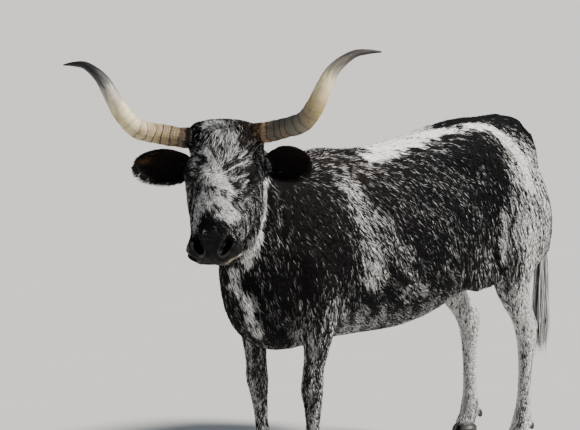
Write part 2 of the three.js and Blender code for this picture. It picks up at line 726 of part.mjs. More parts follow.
// Short locks between the horns that fall forward over the forehead.
function makePollTuft() {
  const locks = [];
  const rows = [
    { share: 0.03, outward: -14, lift: 0.7, shift: -8 },
    { share: 0.08, outward: 0, lift: 0.4, shift: 8 },
  ];
  for (const { share, outward, lift, shift } of rows) {
    for (let i = 0; i < 4; i += 1) {
      const aside = (i - 1.5) * 40 + shift;
      const root = onFace(share, aside, outward - Math.abs(aside) * 0.12);
      const way = along.clone().addScaledVector(out, lift).addScaledVector(left, aside / 260).normalize();
      const bend = along.clone().multiplyScalar(22).addScaledVector(out, -12);
      locks.push(makeLock(root, way, out, 74 + draw() * 8, 54, bend, 3));
    }
  }
  return join(locks);
}

// A flat tapered lock of hair: it starts inside what it grows from and bends as it goes.
function makeLock(root, way, facing, length, width, bend, steps) {
  const flat = vec(0, 0, 0).crossVectors(facing, way).normalize();
  const rings = [];
  for (let k = 0; k <= steps; k += 1) {
    const t = k / steps;
    const middle = root.clone().addScaledVector(way, length * t).addScaledVector(bend, t * t);
    const half = (width / 2) * (1 - t ** 1.6) + 0.8;
    const thick = (width / 7) * (1 - t) + 0.5;
    rings.push([
      middle.clone().addScaledVector(flat, half),
      middle.clone().addScaledVector(facing, thick),
      middle.clone().addScaledVector(flat, -half),
      middle.clone().addScaledVector(facing, -thick),
    ]);
  }
  return ringSolid(rings);
}

// The whole animal

const LEG_HAND = { left: -1, right: 1 };

function makeWhole() {
  const parts = [makeTorso(), makeUdder(), makeNeck(), makeDewlap(), makeSkull(), makeChin()];
  parts.push(makePollTuft(), makeTail(), makeSwitch());
  for (const sideName of ["left", "right"]) {
    const hand = LEG_HAND[sideName];
    parts.push(makeForeLeg(hand, FORE_STEP[sideName]));
    parts.push(makeHindLeg(hand, HIND_STEP[sideName]));
    parts.push(makeFlankFold(hand));
    parts.push(makeDewclaws(FORE_HOOF + FORE_STEP[sideName] + 62, hand * FORE_TRACK));
    parts.push(makeDewclaws(HIND_HOOF + HIND_STEP[sideName] + 68, hand * HIND_TRACK));
  }
  for (const hand of [1, -1]) {
    parts.push(makeHorn(hand), makeEarLeaf(hand), makeEarFringe(hand));
    parts.push(makeLids(hand), makeNostrilRim(hand));
  }
  const cuts = [makeMouth()];
  for (const hand of [1, -1]) cuts.push(makeSocket(hand), makeNostril(hand));
  return largest(join(parts).subtract(join(cuts)));
}

const nodes = new Map();
let body = makeWhole();

function take(name, cut, look) {
  const { taken, rest } = cutOff(body, cut);
  nodes.set(name, { solid: taken, look });
  body = rest;
}

for (const [name, hand] of [["left", 1], ["right", -1]]) {
  take("horn_" + name, {
    at: fromPoll(hand * 134, 5, -63),
    facing: fromPoll(hand * 164, 12, -58).sub(fromPoll(hand * 110, 2, -65)),
    reach: 60,
    probe: fromPoll(hand * 340, 50, 60),
  }, HORN);
  take("ear_" + name, {
    at: earAxes(hand).root.addScaledVector(earAxes(hand).axis, 56),
    facing: earAxes(hand).axis,
    reach: 62,
    probe: earAxes(hand).root.addScaledVector(earAxes(hand).axis, 140),
  }, COAT);
  nodes.set("eye_" + name, { solid: makeEye(hand), look: EYE });
}

take("head", {
  at: onFace(0.22, 0, -181),
  facing: along.clone().multiplyScalar(0.568).addScaledVector(out, 0.823),
  reach: 330,
  probe: onFace(0.5, 0, -100),
}, COAT);
take("neck", {
  at: vec(-650, 0, 940),
  facing: vec(-0.92, 0, 0.4),
  reach: 420,
  probe: vec(-800, -50, 1050),
}, COAT);
take("tail_switch", {
  at: vec(837, -76, TAIL_CUT),
  facing: vec(0.03, 0.08, 1),
  reach: 60,
  probe: vec(832, -80, 520),
}, PALE_HAIR);
take("tail", {
  at: vec(804, -12, 1219),
  facing: vec(0.42, -0.15, -0.88),
  reach: 38,
  probe: vec(836, -50, 990),
}, ROAN);

const SHOULDER_BOX = [226, 400, 700];
const THIGH_BOX = [520, 400, 700];
const THIGH_TURN = -12;

for (const name of ["left", "right"]) {
  const hand = LEG_HAND[name];
  const legs = [
    { pair: "fore", hoof: FORE_HOOF + FORE_STEP[name], y: hand * FORE_TRACK, cutHeight: KNEE_CUT },
    { pair: "hind", hoof: HIND_HOOF + HIND_STEP[name], y: hand * HIND_TRACK, cutHeight: HOCK_CUT },
  ];
  for (const { pair, hoof, y, cutHeight } of legs) {
    const leg = pair + "leg_" + name;
    const foot = cutOff(body, {
      at: vec(hoof, y, CORONET_HEIGHT + GAP / 2),
      facing: UP,
      reach: 90,
      probe: vec(hoof, y, CORONET_HEIGHT / 2),
    });
    body = foot.rest;
    for (const [claw, clawHand] of [["inner", -hand], ["outer", hand]]) {
      const solid = makeClaw(hoof, y, clawHand);
      nodes.set("hoof_" + pair + "_" + name + "_" + claw, { solid, look: HOOF });
    }
    take(leg + "_lower", {
      at: vec(hoof + 40, y, cutHeight),
      facing: UP,
      reach: 120,
      probe: vec(hoof, y, cutHeight / 2),
    }, ROAN);
  }
  const shoulderPlace = new THREE.Matrix4();
  shoulderPlace.makeTranslation(-536 + FORE_STEP[name] * 0.1, hand * 292, 425);
  const foreBox = takeBox(body, SHOULDER_BOX, shoulderPlace);
  nodes.set("foreleg_" + name + "_upper", { solid: foreBox.taken, look: COAT });
  body = foreBox.rest;
  const thighPlace = new THREE.Matrix4().makeRotationY(radians(THIGH_TURN));
  thighPlace.setPosition(662, hand * 266, 606);
  const hindBox = takeBox(body, THIGH_BOX, thighPlace);
  nodes.set("hindleg_" + name + "_upper", { solid: hindBox.taken, look: ROAN });
  body = hindBox.rest;
}
nodes.set("torso", { solid: body, look: COAT });

// A solid as a three.js geometry.
function geometryOf(solid) {
  const mesh = solid.getMesh();
  const positions = new Float32Array(mesh.numVert * 3);
  for (let i = 0; i < mesh.numVert; i += 1) {
    positions.set(mesh.vertProperties.subarray(i * mesh.numProp, i * mesh.numProp + 3), i * 3);
  }
  const shape = new THREE.BufferGeometry();
  shape.setAttribute("position", new THREE.BufferAttribute(positions, 3));
  shape.setIndex(new THREE.BufferAttribute(mesh.triVerts, 1));
  shape.computeVertexNormals();
  return shape;
}

// The origin is on the floor, under the middle of the whole model.
const longhorn = new THREE.Group();
longhorn.name = "texas_longhorn";
for (const [name, { solid, look }] of nodes) {
  const mesh = new THREE.Mesh(geometryOf(solid), new THREE.MeshStandardMaterial(look));
  mesh.name = name;
  longhorn.add(mesh);
}
const bounds = new THREE.Box3().setFromObject(longhorn);
longhorn.position.set(
  -(bounds.min.x + bounds.max.x) / 2,
  -(bounds.min.y + bounds.max.y) / 2,
  -bounds.min.z,
);

export default longhorn;
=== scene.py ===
"""A life-size Texas longhorn cow as a still model: skin, coat, horns, hooves and eyes."""

import math

import bmesh
import bpy
import numpy as np
from bpy.props import FloatProperty, FloatVectorProperty, IntProperty, PointerProperty
from mathutils import Matrix, Vector
from mathutils.bvhtree import BVHTree


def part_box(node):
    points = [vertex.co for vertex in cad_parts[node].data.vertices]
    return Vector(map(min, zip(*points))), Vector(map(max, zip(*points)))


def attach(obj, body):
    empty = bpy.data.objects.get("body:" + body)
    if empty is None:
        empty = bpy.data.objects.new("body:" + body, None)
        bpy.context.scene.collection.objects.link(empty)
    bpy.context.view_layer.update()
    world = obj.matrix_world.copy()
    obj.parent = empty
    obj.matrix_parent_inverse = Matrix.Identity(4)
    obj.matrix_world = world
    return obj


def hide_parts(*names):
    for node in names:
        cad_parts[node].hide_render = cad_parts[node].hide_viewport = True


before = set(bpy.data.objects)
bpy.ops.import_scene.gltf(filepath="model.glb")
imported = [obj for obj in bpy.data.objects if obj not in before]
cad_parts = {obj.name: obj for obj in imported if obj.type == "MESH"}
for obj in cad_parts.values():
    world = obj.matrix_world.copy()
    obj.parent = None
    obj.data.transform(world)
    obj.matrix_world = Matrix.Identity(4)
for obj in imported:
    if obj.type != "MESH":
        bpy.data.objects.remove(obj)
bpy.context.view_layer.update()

bl_info = {
    "name": "Longhorn cow",
    "version": (1, 0, 0),
    "blender": (4, 5, 0),
    "location": "View3D > Sidebar > Longhorn",
    "description": "Dresses the packed solids of a longhorn cow with skin, coat, horns, hooves and eyes",
    "category": "Object",
}

# The head's own axes, as in the solids: along runs down the face, out looks out of it, left is her left
HEAD_TURN = math.radians(32)
FACE_SLOPE = math.radians(29)
FACE_ROLL = math.radians(-0.3)
CROWN_ROLL = math.radians(2.5)
HEAD_LENGTH = 0.524
EYE_SHARE = 0.4
EYE_DEPTH = -0.038
POLL_FROM_START = Vector((-1.0, -0.15, 1.408))

UP = Vector((0, 0, 1))
heading = Vector((-math.cos(HEAD_TURN), -math.sin(HEAD_TURN), 0))
level = UP.cross(heading)
face_left = Matrix.Rotation(FACE_ROLL, 3, heading) @ level
face_up = Matrix.Rotation(FACE_ROLL, 3, heading) @ UP
crown_left = Matrix.Rotation(CROWN_ROLL, 3, heading) @ level
crown_up = Matrix.Rotation(CROWN_ROLL, 3, heading) @ UP
along = heading * math.sin(FACE_SLOPE) - face_up * math.cos(FACE_SLOPE)
out = heading * math.cos(FACE_SLOPE) + face_up * math.sin(FACE_SLOPE)


def middle_of(node):
    """The middle of a CAD node's box."""
    low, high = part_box(node)
    return (low + high) / 2


# The poll is found from the two eyes, and with it the point that the animal's own places start from.
between_eyes = (middle_of("eye_left") + middle_of("eye_right")) / 2
POLL = between_eyes - along * (EYE_SHARE * HEAD_LENGTH) - out * EYE_DEPTH
START = POLL - POLL_FROM_START
EYE_RADIUS = (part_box("eye_left")[1].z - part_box("eye_left")[0].z) / 2


def on_face(share, aside, outward):
    """A point of the face: its share of the head below the poll, to her left, and out of the face."""
    return POLL + along * (share * HEAD_LENGTH) + face_left * aside + out * outward


def on_crown(aside, forward, rise):
    """A point of the crown by its upright axes, from the poll."""
    return POLL + crown_left * aside + heading * forward + crown_up * rise


def face_places(points):
    """The share, aside and outward of each point, as three columns."""
    away = points - np.array(POLL)
    axes = np.array([along / HEAD_LENGTH, face_left, out])
    return away @ axes.T


def face_metres(points):
    """Face places with the share turned into metres, so that distances are true."""
    return points * np.array([HEAD_LENGTH, 1, 1])


def face_line(line, hand=1):
    """A line of face places in metres, as it is given or mirrored to her right."""
    return [(share * HEAD_LENGTH, aside * hand, outward) for share, aside, outward in line]


def side_of(hand):
    """The name of a side, where a hand is 1 for her left and -1 for her right."""
    return "left" if hand > 0 else "right"


def smooth_step(low, high, values):
    """0 below low, 1 above high, and a soft rise between."""
    share = np.clip((values - low) / (high - low), 0, 1)
    return share * share * (3 - 2 * share)


def unit(vectors):
    """The rows at length one."""
    return vectors / (np.linalg.norm(vectors, axis=-1, keepdims=True) + 1e-12)


# Tools for objects


def deselect_all():
    """Nothing selected and nothing active, in object mode."""
    if bpy.context.object and bpy.context.object.mode != "OBJECT":
        bpy.ops.object.mode_set(mode="OBJECT")
    bpy.ops.object.select_all(action="DESELECT")
    bpy.context.view_layer.objects.active = None


def pick(obj):
    """Makes obj the only one selected."""
    deselect_all()
    obj.select_set(True)
    bpy.context.view_layer.objects.active = obj


def modify(obj, kind, **settings):
    """Adds a modifier and applies it."""
    pick(obj)
    made = obj.modifiers.new(kind.lower(), kind)
    for key, value in settings.items():
        setattr(made, key, value)
    bpy.ops.object.modifier_apply(modifier=made.name)


def points_of(obj, key="co"):
    """The mesh's points, or another triple that they have, as rows."""
    flat = np.empty(len(obj.data.vertices) * 3, np.float32)
    obj.data.vertices.foreach_get(key, flat)
    return flat.reshape(-1, 3).astype(float)


def normals_of(obj):
    """The mesh's smooth normals as rows."""
    return points_of(obj, "normal")


def set_points(obj, points):
    """Moves the mesh's points."""
    obj.data.vertices.foreach_set("co", points.astype(np.float32).ravel())
    obj.data.update()


def set_values(obj, name, values):
    """Stores one number for each point of the mesh."""
    made = obj.data.attributes.get(name) or obj.data.attributes.new(name, "FLOAT", "POINT")
    made.data.foreach_set("value", values.astype(np.float32))


WEIGHT_STEPS = 8


def weigh(obj, name, weights):
    """Adds a vertex group whose weights follow the given numbers, in steps."""
    group = obj.vertex_groups.new(name=name)
    steps = np.round(weights * WEIGHT_STEPS).astype(int)
    for step in range(1, WEIGHT_STEPS + 1):
        rows = np.nonzero(steps == step)[0]
        if len(rows):
            group.add(rows.tolist(), step / WEIGHT_STEPS, "REPLACE")


def shade_smooth(obj):
    """Smooth shading over the whole mesh."""
    obj.data.polygons.foreach_set("use_smooth", np.ones(len(obj.data.polygons), bool))
    obj.data.update()


def mesh_object(name, points, triangles):
    """An object from arrays of points and triangles."""
    mesh = bpy.data.meshes.new(name)
    mesh.vertices.add(len(points))
    mesh.vertices.foreach_set("co", points.astype(np.float32).ravel())
    mesh.loops.add(triangles.size)
    mesh.loops.foreach_set("vertex_index", triangles.astype(np.int32).ravel())
    mesh.polygons.add(len(triangles))
    starts = np.arange(len(triangles), dtype=np.int32) * 3
    mesh.polygons.foreach_set("loop_start", starts)
    mesh.update(calc_edges=True)
    obj = bpy.data.objects.new(name, mesh)
    bpy.context.scene.collection.objects.link(obj)
    return obj


# Skin

FLESH = ["head", "neck", "torso", "tail"]
FLESH += ["%sleg_%s_%s" % (pair, side, length)
          for pair in ("fore", "hind") for side in ("left", "right") for length in ("upper", "lower")]
# The size of the cells that the flesh is joined with, before it is refined
SKIN_VOXEL = 0.0135

# Where the solids part, by a point and the way that the cut looks, from the animal's own start
NECK_CUT = ((-0.65, 0, 0.94), (-0.92, 0, 0.4))
TAIL_ROOT = ((0.804, -0.012, 1.219), (0.42, -0.15, -0.88))
LEG_TOP = 0.62
# The cut between head and neck: a face place, and the way into the head along the face and out of it
HEAD_CUT = (0.22, 0, -0.181)
HEAD_WAY = (0.568, 0.823)


def beyond(points, cut):
    """How far each point lies past a cut, in metres."""
    place, facing = cut
    way = Vector(facing).normalized()
    return (points - np.array(START + Vector(place))) @ np.array(way)


def head_depth(points):
    """How far each point lies inside the head from the neck's cut."""
    way = np.array((along * HEAD_WAY[0] + out * HEAD_WAY[1]).normalized())
    return (points - np.array(on_face(*HEAD_CUT))) @ way


def joined_flesh():
    """One closed skin from copies of the flesh nodes."""
    deselect_all()
    for name in [*FLESH, "eye_left", "eye_right"]:
        copy = bpy.data.objects.new("skin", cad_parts[name].data.copy())
        bpy.context.scene.collection.objects.link(copy)
        copy.select_set(True)
        bpy.context.view_layer.objects.active = copy
    bpy.ops.object.join()
    skin = bpy.context.active_object
    skin.name = "skin"
    skin.data.materials.clear()
    bpy.ops.object.mode_set(mode="EDIT")
    bpy.ops.mesh.select_all(action="SELECT")
    bpy.ops.mesh.remove_doubles(threshold=1e-6)
    bpy.ops.object.mode_set(mode="OBJECT")
    modify(skin, "REMESH", mode="VOXEL", voxel_size=SKIN_VOXEL)
    return skin


def refine(skin, chosen):
    """Splits the faces whose points are all chosen, once."""
    pick(skin)
    bpy.ops.object.mode_set(mode="EDIT")
    bpy.ops.mesh.select_mode(type="VERT")
    bpy.ops.mesh.select_all(action="DESELECT")
    mesh = bmesh.from_edit_mesh(skin.data)
    for vertex, wanted in zip(mesh.verts, chosen):
        vertex.select_set(bool(wanted))
    mesh.select_flush_mode()
    bmesh.update_edit_mesh(skin.data)
    bpy.ops.mesh.subdivide(number_cuts=1, smoothness=1, ngon=False)
    bpy.ops.object.mode_set(mode="OBJECT")


def to_start(points):
    """The points measured from the animal's own start."""
    return points - np.array(START)


def line_distance(points, line):
    """How far each point is from a bent line, and how far along it, from 0 to 1."""
    line = np.array(line, float)
    best = np.full(len(points), np.inf)
    place = np.zeros(len(points))
    spans = len(line) - 1
    for i in range(spans):
        way = line[i + 1] - line[i]
        share = np.clip((points - line[i]) @ way / (way @ way), 0, 1)
        gap = np.linalg.norm(points - line[i] - share[:, None] * way, axis=1)
        nearer = gap < best
        best = np.where(nearer, gap, best)
        place = np.where(nearer, (i + share) / spans, place)
    return best, place


def both_sides(rows, column=1):
    """The rows, and again with the number in one column turned over."""
    mirrored = []
    for row in rows:
        other = list(row)
        other[column] = -other[column]
        mirrored.append(tuple(other))
    return list(rows) + mirrored


# Swellings and hollows on both sides of the body: place, reach each way, height
BODY_SWELLS = both_sides([
    (0.335, 0.215, 1.225, 0.045, 0.05, 0.035, 0.009),
    (0.745, 0.105, 1.17, 0.035, 0.04, 0.035, 0.006),
    (0.2, 0.21, 1.135, 0.085, 0.08, 0.05, -0.012),
    (0.46, 0.2, 1.2, 0.06, 0.06, 0.05, -0.007),
    (0.47, 0.22, 0.775, 0.05, 0.06, 0.06, 0.009),
    (-0.52, 0.21, 0.745, 0.04, 0.05, 0.05, 0.008),
    (-0.49, 0.22, 1.0, 0.06, 0.06, 0.12, 0.006),
    (-0.62, 0.19, 0.9, 0.04, 0.06, 0.05, 0.008),
    (0.62, 0.2, 0.92, 0.06, 0.06, 0.1, 0.006),
])

# Ridges, with a height above 0, and grooves on both sides of the body: width, height, line
BODY_LINES = [
    (0.02, 0.005, [(-0.42, 0.11, 1.19), (-0.47, 0.19, 1.07), (-0.52, 0.225, 0.93)]),
    (0.028, -0.007, [(-0.31, 0.13, 1.17), (-0.33, 0.21, 1.03), (-0.37, 0.23, 0.86)]),
    (0.018, 0.005, [(-0.03, 0.17, 1.195), (0.15, 0.19, 1.2), (0.3, 0.205, 1.215)]),
    (0.014, -0.006, [(0.44, 0.21, 1.03), (0.405, 0.22, 0.9), (0.385, 0.21, 0.76)]),
    (0.014, 0.006, [(0.47, 0.215, 1.03), (0.44, 0.225, 0.9), (0.415, 0.215, 0.76)]),
    (0.018, -0.006, [(0.69, 0.14, 1.08), (0.68, 0.2, 0.93), (0.64, 0.2, 0.74)]),
    (0.018, -0.005, [(-0.46, 0.22, 0.84), (-0.5, 0.215, 0.76), (-0.56, 0.2, 0.72)]),
    (0.016, 0.004, [(0.58, 0.2, 0.66), (0.66, 0.18, 0.6), (0.7, 0.17, 0.54)]),
]

# Folds of loose skin on the neck and brisket, as ridges: width, height, line
NECK_FOLDS = [
    (0.013, 0.011, [(-0.83, -0.182, 1.16), (-0.832, -0.178, 1.1), (-0.842, -0.172, 1.05),
                    (-0.85, -0.15, 0.98), (-0.845, -0.1, 0.88)]),
    (0.012, -0.007, [(-0.812, -0.178, 1.15), (-0.812, -0.175, 1.06), (-0.82, -0.15, 0.96)]),
    (0.013, 0.008, [(-0.785, -0.172, 1.12), (-0.775, -0.172, 1.04), (-0.78, -0.15, 0.95),
                    (-0.77, -0.12, 0.87)]),
    (0.013, -0.006, [(-0.755, -0.168, 1.1), (-0.745, -0.17, 1.02), (-0.74, -0.16, 0.92)]),
    (0.016, 0.006, [(-0.72, -0.165, 1.09), (-0.715, -0.175, 0.99), (-0.7, -0.17, 0.88)]),
    (0.011, 0.008, [(-0.88, -0.03, 0.88), (-0.83, -0.05, 0.8), (-0.78, -0.055, 0.7), (-0.74, -0.05, 0.63)]),
    (0.011, -0.006, [(-0.85, -0.04, 0.9), (-0.8, -0.065, 0.82), (-0.75, -0.075, 0.72)]),
    (0.012, 0.007, [(-0.83, -0.08, 0.93), (-0.78, -0.1, 0.84), (-0.72, -0.11, 0.74)]),
]

# Swellings and hollows on both sides of the face: share, aside, outward, reach, height
FACE_SWELLS = both_sides([
    (0.345, 0.108, -0.008, 0.03, 0.006),
    (0.28, 0.122, -0.05, 0.03, -0.006),
    (0.47, 0.108, -0.022, 0.026, -0.004),
    (0.5, 0.1, -0.165, 0.055, 0.008),
    (0.6, 0.088, -0.075, 0.02, 0.004),
    (0.66, 0.09, -0.1, 0.035, -0.005),
    (0.6, 0.05, -0.005, 0.04, 0.003),
    (0.8, 0.06, -0.035, 0.03, -0.004),
    (0.9, 0.07, -0.05, 0.03, 0.005),
    (0.93, 0.035, -0.035, 0.03, 0.004),
    (0.2, 0.06, 0.008, 0.05, 0.003),
    (0.915, 0.082, -0.082, 0.022, 0.009),
])

# Grooves and ridges on both sides of the face: width, height, line in share, aside, outward
MOUTH_LINE = [(0.84, 0.094, -0.105), (0.88, 0.09, -0.092), (0.905, 0.087, -0.079), (0.93, 0.08, -0.067),
              (0.957, 0.064, -0.066), (0.985, 0.042, -0.08), (1.005, 0.0, -0.096)]
NOSTRIL_LINE = [(0.86, 0.06, -0.015), (0.888, 0.054, -0.014), (0.912, 0.046, -0.022), (0.926, 0.038, -0.03)]
FACE_LINES = [
    (0.013, 0.005, [(share, aside, outward + 0.018) for share, aside, outward in MOUTH_LINE]),
    (0.012, 0.006, [(share, aside * 0.97, outward - 0.014) for share, aside, outward in MOUTH_LINE]),
    (0.005, -0.012, MOUTH_LINE),
    (0.011, 0.008, [(0.842, 0.055, -0.008), (0.852, 0.071, -0.018), (0.882, 0.074, -0.032),
                    (0.918, 0.062, -0.045), (0.94, 0.044, -0.046)]),
    (0.009, 0.004, [(0.86, 0.042, -0.004), (0.89, 0.034, -0.01), (0.918, 0.026, -0.022)]),
    (0.0125, -0.027, NOSTRIL_LINE),
    (0.005, -0.009, [(0.862, 0.06, -0.014), (0.862, 0.072, -0.024), (0.878, 0.08, -0.036)]),
    (0.005, -0.004, [(0.92, 0.0, -0.02), (0.985, 0.0, -0.06), (1.0, 0.0, -0.08)]),
    (0.0045, -0.0025, [(0.835, 0.0, -0.004), (0.83, 0.03, -0.008), (0.822, 0.045, -0.012)]),
    (0.0045, -0.002, [(0.865, 0.0, -0.008), (0.862, 0.025, -0.01)]),
    (0.0055, 0.0035, [(0.5, 0.081, -0.02), (0.47, 0.088, -0.019), (0.445, 0.097, -0.02)]),
    (0.006, -0.003, [(0.49, 0.09, -0.03), (0.46, 0.1, -0.03)]),
    (0.012, 0.003, [(0.42, 0.1, -0.068), (0.5, 0.092, -0.07), (0.62, 0.086, -0.078)]),
    (0.005, -0.002, [(0.33, 0.12, -0.04), (0.32, 0.125, -0.06), (0.33, 0.128, -0.075)]),
]


def sculpt(skin):
    """Bones, muscles, folds, lips and nostrils, raised or sunk along the skin's own normals."""
    points = points_of(skin)
    normals = normals_of(skin)
    from_start = to_start(points)
    push = np.zeros(len(points))
    for x, y, z, reach_x, reach_y, reach_z, height in BODY_SWELLS:
        away = (from_start - (x, y, z)) / (reach_x, reach_y, reach_z)
        push += height * np.exp(-(away**2).sum(1))
    for width, height, line in BODY_LINES:
        for hand in (1, -1):
            gap, place = line_distance(from_start, [(x, y * hand, z) for x, y, z in line])
            push += height * np.exp(-((gap / width) ** 2)) * ends_faded(place)
    for width, height, line in NECK_FOLDS:
        gap, place = line_distance(from_start, line)
        push += height * np.exp(-((gap / width) ** 2)) * ends_faded(place)
    in_head = head_depth(points) > -0.05
    places = face_metres(face_places(points[in_head]))
    head_push = np.zeros(len(places))
    for share, aside, outward, reach, height in FACE_SWELLS:
        away = (places - (share * HEAD_LENGTH, aside, outward)) / reach
        head_push += height * np.exp(-(away**2).sum(1))
    for width, height, line in FACE_LINES:
        for hand in (1, -1):
            gap, _ = line_distance(places, face_line(line, hand))
            # The two halves of a line that meets its mirror in the middle count once there.
            half = np.clip(places[:, 1] * hand / 0.004 + 0.5, 0, 1)
            head_push += height * np.exp(-((gap / width) ** 2)) * half
    push[in_head] += head_push
    set_points(skin, points + normals * push[:, None])


def sink_under_coat(skin):
    """Lowers the skin by the depth of its coat, so that the hair ends where the solids do."""
    sizes = bpy.context.scene.longhorn_coat
    points = points_of(skin)
    in_head = smooth_step(-0.03, 0.03, head_depth(points))
    leg = 1 - smooth_step(0.5, 0.72, to_start(points)[:, 2])
    fine = np.maximum(in_head, leg)
    depth = sizes.body_depth + (sizes.face_depth - sizes.body_depth) * fine
    set_points(skin, points - normals_of(skin) * depth[:, None])


def ends_faded(place):
    """1 along a line and a soft fall at its two ends."""
    return smooth_step(0, 0.2, place) * (1 - smooth_step(0.8, 1, place))


# Eyes

LID_THICKNESS = 0.0028
SLIT_HALF_LENGTH = 0.0185
SLIT_HALF_HEIGHT = 0.0112
LID_REACH = 0.034
LID_SINK = 0.0012
LID_SOFTNESS = 0.004
# Heights count this much against the slit, so that the skin sinks behind the ball a little past the lids
SLIT_ARCH = 0.9


def eye_axes(hand):
    """The eye's middle, the long way of its slit, the way up and the way that it looks."""
    gaze = (face_left * hand + out * 0.4).normalized()
    slit = along + out * 0.35
    slit = (slit - gaze * slit.dot(gaze)).normalized()
    lift = gaze.cross(slit) * hand
    if lift.dot(UP) < 0:
        lift = -lift
    return middle_of("eye_" + side_of(hand)), slit, lift, gaze


def drape_lids(skin):
    """Lays the skin over each eyeball as two lids, and sinks it behind the ball inside the slit."""
    points = points_of(skin)
    for hand in (1, -1):
        middle, slit, lift, gaze = (np.array(v) for v in eye_axes(hand))
        away = points - middle
        across, high, deep = away @ slit, away @ lift, away @ gaze
        flat = np.hypot(across, high)
        near = (flat < LID_REACH) & (deep > -0.01)
        opening = SLIT_HALF_HEIGHT * (1 - (across / SLIT_HALF_LENGTH) ** 2)
        inside = smooth_step(-0.0016, 0.0016, opening - np.abs(high * SLIT_ARCH))
        lid = np.sqrt(np.clip((EYE_RADIUS + LID_THICKNESS) ** 2 - flat**2, 1e-6, None))
        behind = np.sqrt(np.clip((EYE_RADIUS * 0.86) ** 2 - flat**2, 1e-6, None))
        wanted = lid * (1 - inside) + behind * inside
        laid = wanted - LID_SINK
        over = np.maximum(deep, laid) + LID_SINK * np.exp(-np.abs(laid - deep) / LID_SOFTNESS) * 0.5
        moved = over * (1 - inside) + wanted * inside
        change = np.where(near & (flat < EYE_RADIUS * 0.98), moved - deep, 0)
        points += change[:, None] * gaze
    set_points(skin, points)


# Ears, as leaves rolled into a cup: how far along, half width, bow, thickness
EAR_ROOT = (0.094, -0.062, -0.19)
EAR_TIP = {1: (0.294, 0.034, -0.154), -1: (0.318, 0.046, -0.152)}
EAR_WIDTH = 0.116
EAR_STATIONS = [
    (0.0, 0.46, 0.028, 0.028),
    (0.16, 0.54, 0.03, 0.02),
    (0.3, 0.8, 0.033, 0.01),
    (0.5, 1.0, 0.033, 0.0055),
    (0.7, 0.94, 0.027, 0.005),
    (0.86, 0.66, 0.017, 0.0045),
    (0.95, 0.34, 0.009, 0.004),
    (0.99, 0.08, 0.002, 0.003),
]


def through(stations, t):
    """A smooth blend of the numbers in a row of stations. t runs from 0 to 1."""
    stations = np.array(stations, float)
    spans = len(stations) - 1
    place = min(t * spans, spans - 1e-9)
    first = int(place)
    u = place - first
    before, start, end, after = (stations[min(max(i, 0), spans)] for i in range(first - 1, first + 3))
    slope_in = (end - before) / 2
    slope_out = (after - start) / 2
    rise = end - start
    bend = 3 * rise - 2 * slope_in - slope_out
    return start + u * (slope_in + u * (bend + u * (slope_in + slope_out - 2 * rise)))


def ear_axes(hand):
    """The ear's root, the way to its tip, the way up across it, the way its cup faces, and its length."""
    aside, forward, rise = EAR_ROOT
    root = on_crown(hand * aside, forward, rise)
    aside, forward, rise = EAR_TIP[hand]
    tip = on_crown(hand * aside, forward, rise)
    axis = (tip - root).normalized()
    opens = heading - crown_up * 0.12
    upward = opens.cross(axis).normalized() * hand
    front = axis.cross(upward).normalized() * hand
    return root, axis, upward, front, (tip - root).length


def extrude_rings(name, rings):
    """A closed body, extruded ring by ring from a flat first one."""
    deselect_all()
    bpy.ops.mesh.primitive_circle_add(vertices=len(rings[0]), fill_type="NGON")
    made = bpy.context.active_object
    made.name = name
    bpy.ops.object.mode_set(mode="EDIT")
    mesh = bmesh.from_edit_mesh(made.data)
    mesh.verts.ensure_lookup_table()
    for vertex, place in zip(mesh.verts, rings[0]):
        vertex.co = place
    before = {tuple(v.co): i for i, v in enumerate(mesh.verts)}
    for ring in rings[1:]:
        bpy.ops.mesh.extrude_region_move()
        mesh = bmesh.from_edit_mesh(made.data)
        raised = [v for v in mesh.verts if v.select]
        order = [before[tuple(v.co)] for v in raised]
        for vertex, i in zip(raised, order):
            vertex.co = ring[i]
        before = {tuple(v.co): i for v, i in zip(raised, order)}
    bpy.ops.mesh.select_all(action="SELECT")
    bpy.ops.mesh.normals_make_consistent(inside=False)
    # The parts are put in a fixed order, so that every run gives the same result.
    bpy.ops.mesh.sort_elements(type="CURSOR_DISTANCE", elements={"VERT", "EDGE", "FACE"})
    bpy.ops.object.mode_set(mode="OBJECT")
    return made


EAR_STEPS = 34
EAR_ACROSS = 13


def make_ear(hand):
    """One ear as a thin curled leaf."""
    root, axis, upward, front, length = ear_axes(hand)
    rings = []
    for k in range(EAR_STEPS + 1):
        t, half, bow, thick = through(EAR_STATIONS, k / EAR_STEPS)
        middle = root + axis * (t * length)
        back, cup = [], []
        for i in range(EAR_ACROSS + 1):
            angle = math.pi * (i / EAR_ACROSS - 0.5)
            deep = math.cos(angle)
            place = middle + upward * (math.sin(angle) * half * EAR_WIDTH / 2)
            wave = 0.0015 * math.sin(t * 17 + i * 0.9)
            back.append(place - front * (bow * deep + thick / 2 + wave))
            cup.append(place - front * (bow * deep - thick * (0.4 + deep * 0.2) + wave))
        rings.append(back + cup[::-1])
    return extrude_rings("ear", rings)


def add_ears(skin):
    """Joins the two ears to the skin as one closed surface."""
    for hand in (1, -1):
        ear = make_ear(hand)
        modify(skin, "BOOLEAN", operation="UNION", object=ear, solver="MANIFOLD")
        bpy.data.objects.remove(ear)


# The middle line of the hanging tail and of its switch, from the animal's own start, and its radius
TAIL_LINE = [(0.8288, -0.0355, 1.1), (0.8359, -0.0517, 1.0), (0.838, -0.0639, 0.9), (0.8377, -0.0698, 0.84),
             (0.8369, -0.0731, 0.8), (0.837, -0.0761, 0.755), (0.835, -0.078, 0.7), (0.833, -0.079, 0.62),
             (0.83, -0.0792, 0.56)]
TAIL_RADIUS = [0.0245, 0.0218, 0.0195, 0.0183, 0.0175, 0.0165, 0.016, 0.013, 0.006]
